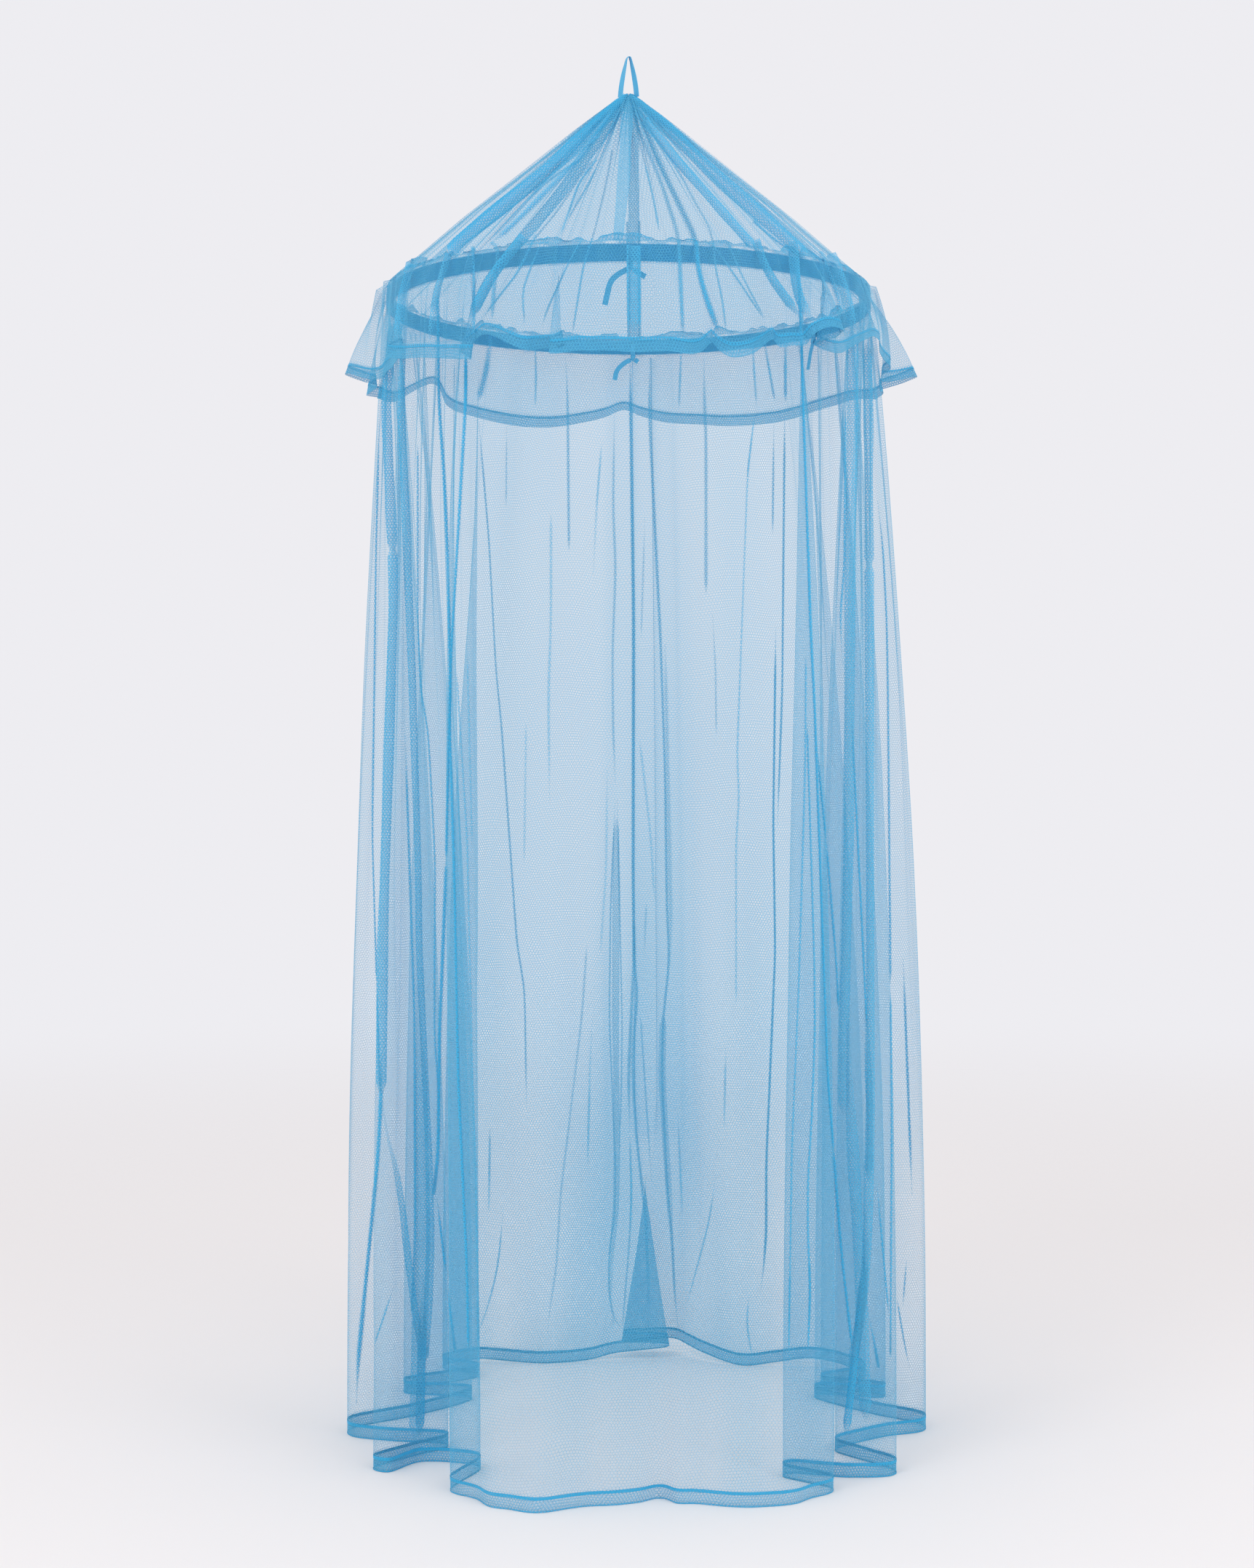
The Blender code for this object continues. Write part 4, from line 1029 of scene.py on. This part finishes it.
def make_casing(material, top_ring, degrees, cloth, wall):
    """The long net's top: the sleeve over the hoop, a small standing frill, and the flap inside."""
    roof = HOOP_TOP + SEAT
    even = np.linspace(0, 360, CURTAIN_COLUMNS, endpoint=False) + degrees[0]

    def bumps(reach, seed):
        rng = np.random.default_rng(seed)
        return np.interp(degrees, even, uneven(rng, CURTAIN_COLUMNS, reach), period=360)

    ruffle = bumps(3, 3)
    crest = FRILL_HEIGHT * (0.55 + 0.50 * np.clip(bumps(12, 4), 0, 2.2) + 0.22 * bumps(6, 14) + 0.12 * ruffle)
    crest = np.clip(crest, *FRILL_RANGE)
    lean = 0.0015 + 0.55 * np.clip(crest - 0.008, 0, 0.0135)
    top_radius = CASING_RADIUS - lean + 0.0022 * np.clip(0.7 * bumps(6, 6) + 0.7 * ruffle, -1.6, 1.6)
    cover = crown_height(top_radius + CLOTH) + crown_rise(degrees) * 0.75
    crest = np.minimum(HOOP_TOP + crest, cover)
    gaps = 5.0 * smoothstep(0.35, 0.9, bumps(9, 8) + 0.4 * bumps(30, 9))
    packed = fullness(ring(around(degrees, CASING_RADIUS), HOOP_TOP), cloth) * (1 - 0.5 * wall) * 0.4
    bunch = 0.5 + np.clip(bumps(4, 12), -0.4, 2)

    # The sleeve's rows upwards, and the frill's: radius, height and how much more net they hold
    neck, foot = CASING_RADIUS - 0.0012, roof + 0.0042
    steps = [
        (CASING_RADIUS, HOOP_BOTTOM - 0.003, 0.4 * bunch),
        (CASING_RADIUS, HOOP_BOTTOM + 0.002, 0.8 * bunch),
        (CASING_RADIUS, HOOP_TOP - 0.003, 0.8 * bunch),
        (CASING_RADIUS - 0.0004, roof, bunch),
        (CASING_RADIUS - 0.0008, roof + 0.0014, 0.6 - gaps),
        (CASING_RADIUS - 0.0010, roof + 0.0034, 0.6 - gaps),
        (neck, foot, 2.4),
    ]
    for share in (0.35, 0.7, 0.84, 1.0):
        more = (1.2 if share < 1 else 5.0) + 0.9 * np.clip(ruffle, -1, 2)
        steps.append((neck + (top_radius - neck) * share, foot + (crest - foot) * share, more))
    outer = np.array([top_ring] + [ring(around(degrees, radius), height) for radius, height, more in steps])
    held = np.array([packed] + [packed + more for radius, height, more in steps])
    net = Net()
    net.add(outer, cloth.mesh_at, drop_of(outer)[:, None], held, cloth.mesh_width)

    # The frill's inside and the flap, downwards
    inner, held = [outer[-1]], [packed + 4.0]
    for share in (0.7, 0.35, 0.1):
        radius = top_radius * share + (CASING_RADIUS - 0.003) * (1 - share) - 0.0016
        radius = radius + 0.0012 * np.clip(bumps(7, 10), -1, 1)
        inner.append(ring(around(degrees, radius), roof + 0.0014 + (crest - roof - 0.0014) * share))
        held.append(packed + 0.3 + 0.6 * np.clip(bumps(8, 11), 0, 2) - (gaps if share < 0.2 else 0))
    for radius, height in (
        (FLAP_RADIUS + 0.001, roof),
        (FLAP_RADIUS, HOOP_TOP - 0.003),
        (FLAP_RADIUS, HOOP_BOTTOM - FLAP_DROP),
    ):
        inner.append(ring(around(degrees, radius), height))
        held.append(packed * 0.7 + 0.9)
    inner = np.array(inner)
    net.add(inner, cloth.mesh_at + HEM_SHIFT, drop_of(inner)[:, None], np.array(held), cloth.mesh_width)
    return net.build("net_curtain_casing", material)


# ---------------------------------------------------------------- crown
# The crown's net is spread thinnest at both sides, within about EDGE_HALF degrees of CROWN_EDGES
CROWN_EDGES = (-14, 194)
EDGE_HALF = 20


def crown_height(radius):
    return np.interp(radius, *zip(*CROWN_PROFILE))


def crown_rise(degrees):
    """How far the crown's main folds stand off its even cone at the brim."""
    total = np.zeros(len(degrees))
    for fold in CROWN_FOLDS:
        share = np.clip(np.abs(turned_from(degrees, fold.at_deg)) / fold.half_deg, 0, 1)
        total += fold.height * np.cos(share * math.pi / 2) ** 2
    return total * 0.6 - 0.005


def valance_levels(columns, cloth, gathers, rng):
    """The valance from its hem up to the brim, and how much net its columns hold."""
    degrees = columns[:, 2]
    folds = crown_rise(degrees)
    brim = CROWN_PROFILE[-1]
    ripple = uneven(rng, CROWN_COLUMNS, 12) * 0.0022
    lift = uneven(rng, CROWN_COLUMNS, 22) * 0.0018
    slope = math.radians(VALANCE_SLOPE_DEG)
    hem_share = HEM_DEPTH / VALANCE_DEPTH
    drops = [1 - hem_share * share for share in (0, 0.2, 0.78, 1, 1.3)]
    levels, held = [], []
    for drop in [*drops, *np.linspace(0.78, 0, VALANCE_ROWS)]:
        plan = around(degrees, brim.radius) * (1 - drop) + columns[:, :2] * drop
        bulge = folds * (1 - drop) + 0.006 * math.sin(math.pi * drop) + ripple * drop
        plan = plan + plan_normals(plan) * bulge[:, None]
        heights = brim.height + (columns[:, 3] + lift - brim.height) * drop
        plan, out, normals = gathered(plan, cloth, *gathers, 0.55 * (1 - 0.8 * drop), 0.7, 0.007)
        plan = plan + normals * (out * math.sin(slope))[:, None]
        levels.append(ring(plan, heights + out * math.cos(slope)))
        held.append(fullness(levels[-1], cloth) * 0.6 - 0.1)
    return np.array(levels), np.array(held)


def cone_levels(degrees, cloth, gathers, start, start_held):
    """The cone from the brim, where the valance ends, up to the apex, and how much net its columns hold."""
    folds = crown_rise(degrees)
    brim, tip = CROWN_PROFILE[-1].radius, CROWN_PROFILE[0].radius
    thin = sum(np.exp(-((turned_from(degrees, edge) / EDGE_HALF) ** 2)) for edge in CROWN_EDGES)
    levels, held = [start], [start_held]
    for share in (np.linspace(1, 0, CONE_ROWS) ** 1.15)[1:]:
        radius = tip + (brim - tip) * share
        slope = math.atan2(crown_height(radius - 0.02) - crown_height(radius + 0.02), 0.04)
        rise = folds * radius / brim
        plan = around(degrees, radius + rise * math.sin(slope))
        reach = min(0.005, 0.002 + 0.03 * radius, 0.33 * radius + 0.0008)
        plan, out, normals = gathered(plan, cloth, *gathers, 0.45, 0.5, reach)
        plan = plan + normals * (out * math.sin(slope))[:, None]
        levels.append(ring(plan, crown_height(radius) + (rise + out) * math.cos(slope)))
        packed = np.minimum(fullness(levels[-1], cloth) * 0.45, 0.35)
        held.append(packed + 5.0 * math.exp(-radius / 0.035) - 1.5 * thin * smoothstep(0.05, 0.12, radius))
    return np.array(levels), np.array(held)


def add_cone(net, cone, held, degrees):
    """The cone, with its net lying as it would on the cone laid flat, so that its meshes stay even."""
    tip, brim = CROWN_PROFILE[0], CROWN_PROFILE[-1]
    slant = math.hypot(brim.radius, tip.height - brim.height)
    fan = np.radians(degrees - 90) * brim.radius / slant
    reach = slant * np.array([np.linalg.norm(level[:, :2], axis=1).mean() for level in cone]) / brim.radius
    net.add(cone, reach[:, None] * np.cos(fan)[None, :], reach[:, None] * np.sin(fan)[None, :], held)
    closing = np.concatenate([cone[:, -1:], cone[:, :1]], axis=1)
    net.add(closing, np.array([[0, 0.001]]), reach[:, None], held[:, :2])


def make_crown(material):
    rows = []
    for row in VALANCE_HEM:
        x, y = around([row.hem_deg], row.radius)[0]
        rows.append((x, y, row.hoop_deg, row.height))
    columns, cloth = columns_of(np.array(rows), [row.turn for row in VALANCE_HEM], CROWN_COLUMNS)
    degrees = columns[:, 2]
    gathers = wave_train(cloth, 23, 0.024, 0.060, 0.9)
    valance, held = valance_levels(columns, cloth, gathers, np.random.default_rng(41))
    cone, cone_held = cone_levels(degrees, cloth, gathers, valance[-1], held[-1])
    v = drop_of(valance)
    net = Net()
    hem_held = 1.5
    held[:4] = np.maximum(held[:4], hem_held)
    net.add(valance, cloth.mesh_at, v[:, None], held, cloth.mesh_width)
    add_cone(net, cone, cone_held, degrees)
    add_hem(net, valance[:4], cloth, v[:4], hem_held, 4.0)

    # The gathered top, drawn in to a flat button
    top = cone[-1]
    rings = [top]
    middle = top.mean(axis=0)
    for share, rise in ((0.8, 0.0006), (0.5, 0.0010), (0.15, 0.0011)):
        rings.append(middle + (top - middle) * np.array([share, share, share * 0.5]) + np.array([0, 0, rise]))
    drop = np.array([0, 0.002, 0.005, 0.008])[:, None]
    net.add(np.array(rings), cloth.mesh_at, drop, 6.0, cloth.mesh_width)
    body = net.build("net_crown_cloth", material)

    creases = Net()
    lower = [level for level in cone[1:] if np.hypot(level[:, 0], level[:, 1]).mean() > 0.035]
    downwards = np.concatenate([valance[4:], lower])[::-1]
    add_creases(creases, downwards, CROWN_CREASES, 37, 0.6, top[:, 2].mean())
    return body, creases.build("net_crown_creases", material)


# ---------------------------------------------------------------- tapes
def smooth_line(points, count):
    """A Catmull-Rom line through the points, in even steps."""
    points = np.array(points, float)
    ends = np.vstack([2 * points[0] - points[1], points, 2 * points[-1] - points[-2]])
    found = []
    for index in range(len(points) - 1):
        p0, p1, p2, p3 = ends[index : index + 4]
        square, cube = 2 * p0 - 5 * p1 + 4 * p2 - p3, 3 * p1 - p0 - 3 * p2 + p3
        for t in np.linspace(0, 1, 24, endpoint=False):
            found.append(0.5 * (2 * p1 + (p2 - p0) * t + square * t * t + cube * t**3))
    found = np.array([*found, points[-1]])
    measure = distances(found[:, :3])
    return resampled(found, measure, np.linspace(0, measure[-1], count))


def tape_section(width, thickness):
    """A tape's cross-section: rounded edges, and a shallow groove beside each selvedge."""
    half, thick = width / 2, thickness / 2
    top = [(-half, 0), (-half + 0.25 * thick, 0.75 * thick), (-half + 0.9 * thick, thick)]
    top += [(-0.62 * half, 0.98 * thick), (-0.55 * half, 0.72 * thick)]
    top += [(-0.3 * half, 0.82 * thick), (0, 0.86 * thick)]
    top += [(-x, y) for x, y in reversed(top[:-1])]
    bottom = [(x, -y) for x, y in reversed(top[1:-1])]
    return np.array(top + bottom)


def tape_mesh(name, middles, across, normals, width, thickness, material):
    section = tape_section(width, thickness)
    rings = middles[:, None] + across[:, None] * section[:, :1] + normals[:, None] * section[:, 1:]
    shape = (len(middles), len(section))
    index = np.arange(shape[0] * shape[1]).reshape(shape)
    right = np.roll(index, -1, axis=1)
    faces = np.stack([index[:-1], right[:-1], right[1:], index[1:]], axis=-1).reshape(-1, 4).tolist()
    faces += [index[0, ::-1].tolist(), index[-1].tolist()]
    uvs = np.stack(np.broadcast_arrays(section[:, 0], distances(middles)[:, None]), axis=-1).reshape(-1, 2)
    corners = [corner for face in faces for corner in face]
    mesh = new_mesh(name, rings.reshape(-1, 3), faces, uvs[corners], material)
    mesh.set_sharp_from_angle(angle=math.radians(60))
    return new_object(name, mesh)


def make_loop(material):
    steps = [(step.depth, -step.half_width, step.turn_deg) for step in reversed(LOOP_STEPS)]
    steps += [(step.depth, step.half_width, -step.turn_deg) for step in LOOP_STEPS[1:]]
    line = smooth_line([(x, 0.0, -depth, turn) for depth, x, turn in steps], 130)
    middles = line[:, :3].copy()
    across, normals = [], []
    for tangent, turn_deg in zip(np.gradient(middles, axis=0), line[:, 3]):
        tangent = unit(tangent)
        edge = unit(np.cross(tangent, (0, 1, 0)))
        turn = math.radians(turn_deg)
        across.append(np.array([0, 1, 0]) * math.cos(turn) + edge * math.sin(turn))
        normals.append(np.cross(tangent, across[-1]))
    middles[:, 2] += TAPE / 2
    across, normals = np.array(across), np.array(normals)
    return tape_mesh("hanging_loop_tape", middles, across, normals, LOOP_TAPE_WIDTH, TAPE, material)


def across_line(line, facing):
    """The way across a tape that runs along the line and faces this way."""
    return units(np.cross(facing, np.gradient(line, axis=0)))


def make_knot(name, middle, axes, material):
    """The tape wound once round itself. axes are the ways along the hoop, out and up."""
    half_x, half_y, half_z = KNOT_HALF
    turns = np.linspace(0, 2 * math.pi, 49)
    cos, sin = np.cos(turns), np.sin(turns)
    line = middle + np.column_stack([cos * half_x * 0.35, sin * half_y * 1.05, -cos * half_z * 0.82]) @ axes
    across = across_line(line, units(np.column_stack([cos * 0.4, sin, -cos]) @ axes))
    facing = np.cross(units(np.gradient(line, axis=0)), across)
    return tape_mesh(name, line, across, facing, TAPE_WIDTH * 0.8, TAPE * 1.2, material)


def make_tie(tie, material):
    angle = math.radians(tie.hoop_deg)
    radial = np.array([math.cos(angle), math.sin(angle), 0])
    axes = np.array([(-math.sin(angle), math.cos(angle), 0), radial, (0, 0, 1)])
    radius = FLAP_RADIUS - CLOTH / 2 - TIE_SEAT - TAPE / 2
    knot_height = HOOP_BOTTOM - FLAP_DROP - SEAT - KNOT_HALF[2]
    centre = radial * radius + np.array([0, 0, knot_height - HOOK_HEIGHT])
    knotted = centre - radial * KNOT_HALF[1] / 2
    pieces = []
    for suffix, start, steps in (
        ("sewn", centre, [(0, 0, KNOT_HALF[2] + TIE_RISE), (0, 0, 0.008), (0, 0, 0)]),
        ("long", knotted, tie.long_end),
        ("short", knotted, tie.short_end),
    ):
        line = smooth_line(start + np.array(steps) @ axes, 40)
        facing = np.tile(radial, (len(line), 1))
        name = tie.name + "_" + suffix + "_tape"
        pieces.append(tape_mesh(name, line, across_line(line, facing), facing, TAPE_WIDTH, TAPE, material))
    pieces.append(make_knot(tie.name + "_knot_tape", knotted, axes, material))
    return pieces


# ---------------------------------------------------------------- studio
def make_camera():
    data = bpy.data.cameras.new("camera")
    data.sensor_fit = "VERTICAL"
    data.sensor_height = 36
    data.lens = 36 * FOCAL_LENGTH / PICTURE_HEIGHT
    camera = new_object("camera", data)
    camera.location = (EYE[0], EYE[1], EYE[2] - HOOK_HEIGHT)
    camera.rotation_euler = (math.radians(90), 0, 0)
    bpy.context.scene.camera = camera


# What the lights point at, in the frame: the long net's middle
LIT_PLACE = (0, -0.4, -1.4)


def area_light(name, place, size, power):
    data = bpy.data.lights.new(name, "AREA")
    data.shape = "DISK"
    data.size = size
    data.energy = power
    light = new_object(name, data)
    light.location = place
    light.rotation_euler = (Vector(LIT_PLACE) - Vector(place)).to_track_quat("-Z", "Y").to_euler()


def floor_material(reach):
    """Pale paper that fades out towards the floor's rim."""
    material, tree, shader = start_material("floor_paper", (0.887, 0.855, 0.835), 0.9)
    inputs = {"Vector": node(tree, "TexCoord").outputs["Object"], "Scale": (1 / reach, 1 / reach, 1 / reach)}
    shrink = node(tree, "Mapping", inputs, vector_type="POINT")
    gradient = node(tree, "TexGradient", {"Vector": shrink.outputs[0]}, gradient_type="SPHERICAL")
    fade = ranged(tree, gradient.outputs["Fac"], 0.25, 0.85)
    feed(tree, shader, {"Specular IOR Level": 0.0, "Alpha": fade})
    return material


def make_studio():
    scene = bpy.context.scene
    scene.view_settings.view_transform = "Standard"
    scene.cycles.transparent_max_bounces = 64
    scene.world = bpy.data.worlds.new("studio")
    scene.world.use_nodes = True
    scene.world.node_tree.nodes["Background"].inputs["Color"].default_value = (0.852, 0.846, 0.880, 1)
    area_light("key", (-2.4, -3.4, 2.4), 2.4, 55)
    area_light("fill", (2.8, -3.0, 1.2), 2.8, 40)

    reach, sides = 9.0, 96
    mesh = bpy.data.meshes.new("floor")
    rim = around(np.arange(sides) * 360 / sides, reach)
    mesh.from_pydata([(x, y, 0) for x, y in rim], [], [tuple(range(sides))])
    mesh.materials.append(floor_material(reach))
    floor = new_object("floor", mesh)
    floor.location = (0, 0, -HOOK_HEIGHT - 0.0005)


# ---------------------------------------------------------------- the object
def stand_for(piece, replaced):
    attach(piece, "root")
    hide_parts(replaced)


def main():
    make_camera()
    make_studio()
    net, tape, plastic = net_material(), tape_material(), hoop_material()
    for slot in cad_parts["hoop"].material_slots:
        slot.material = plastic

    curtain, folds, casing = make_curtain(net)
    crown, pleats = make_crown(net)
    for piece in (curtain, folds, casing):
        stand_for(piece, "net_curtain")
    for piece in (crown, pleats):
        stand_for(piece, "net_crown")
    stand_for(make_loop(tape), "hanging_loop")
    for tie in TIES:
        for piece in make_tie(tie, tape):
            stand_for(piece, tie.name)


main()
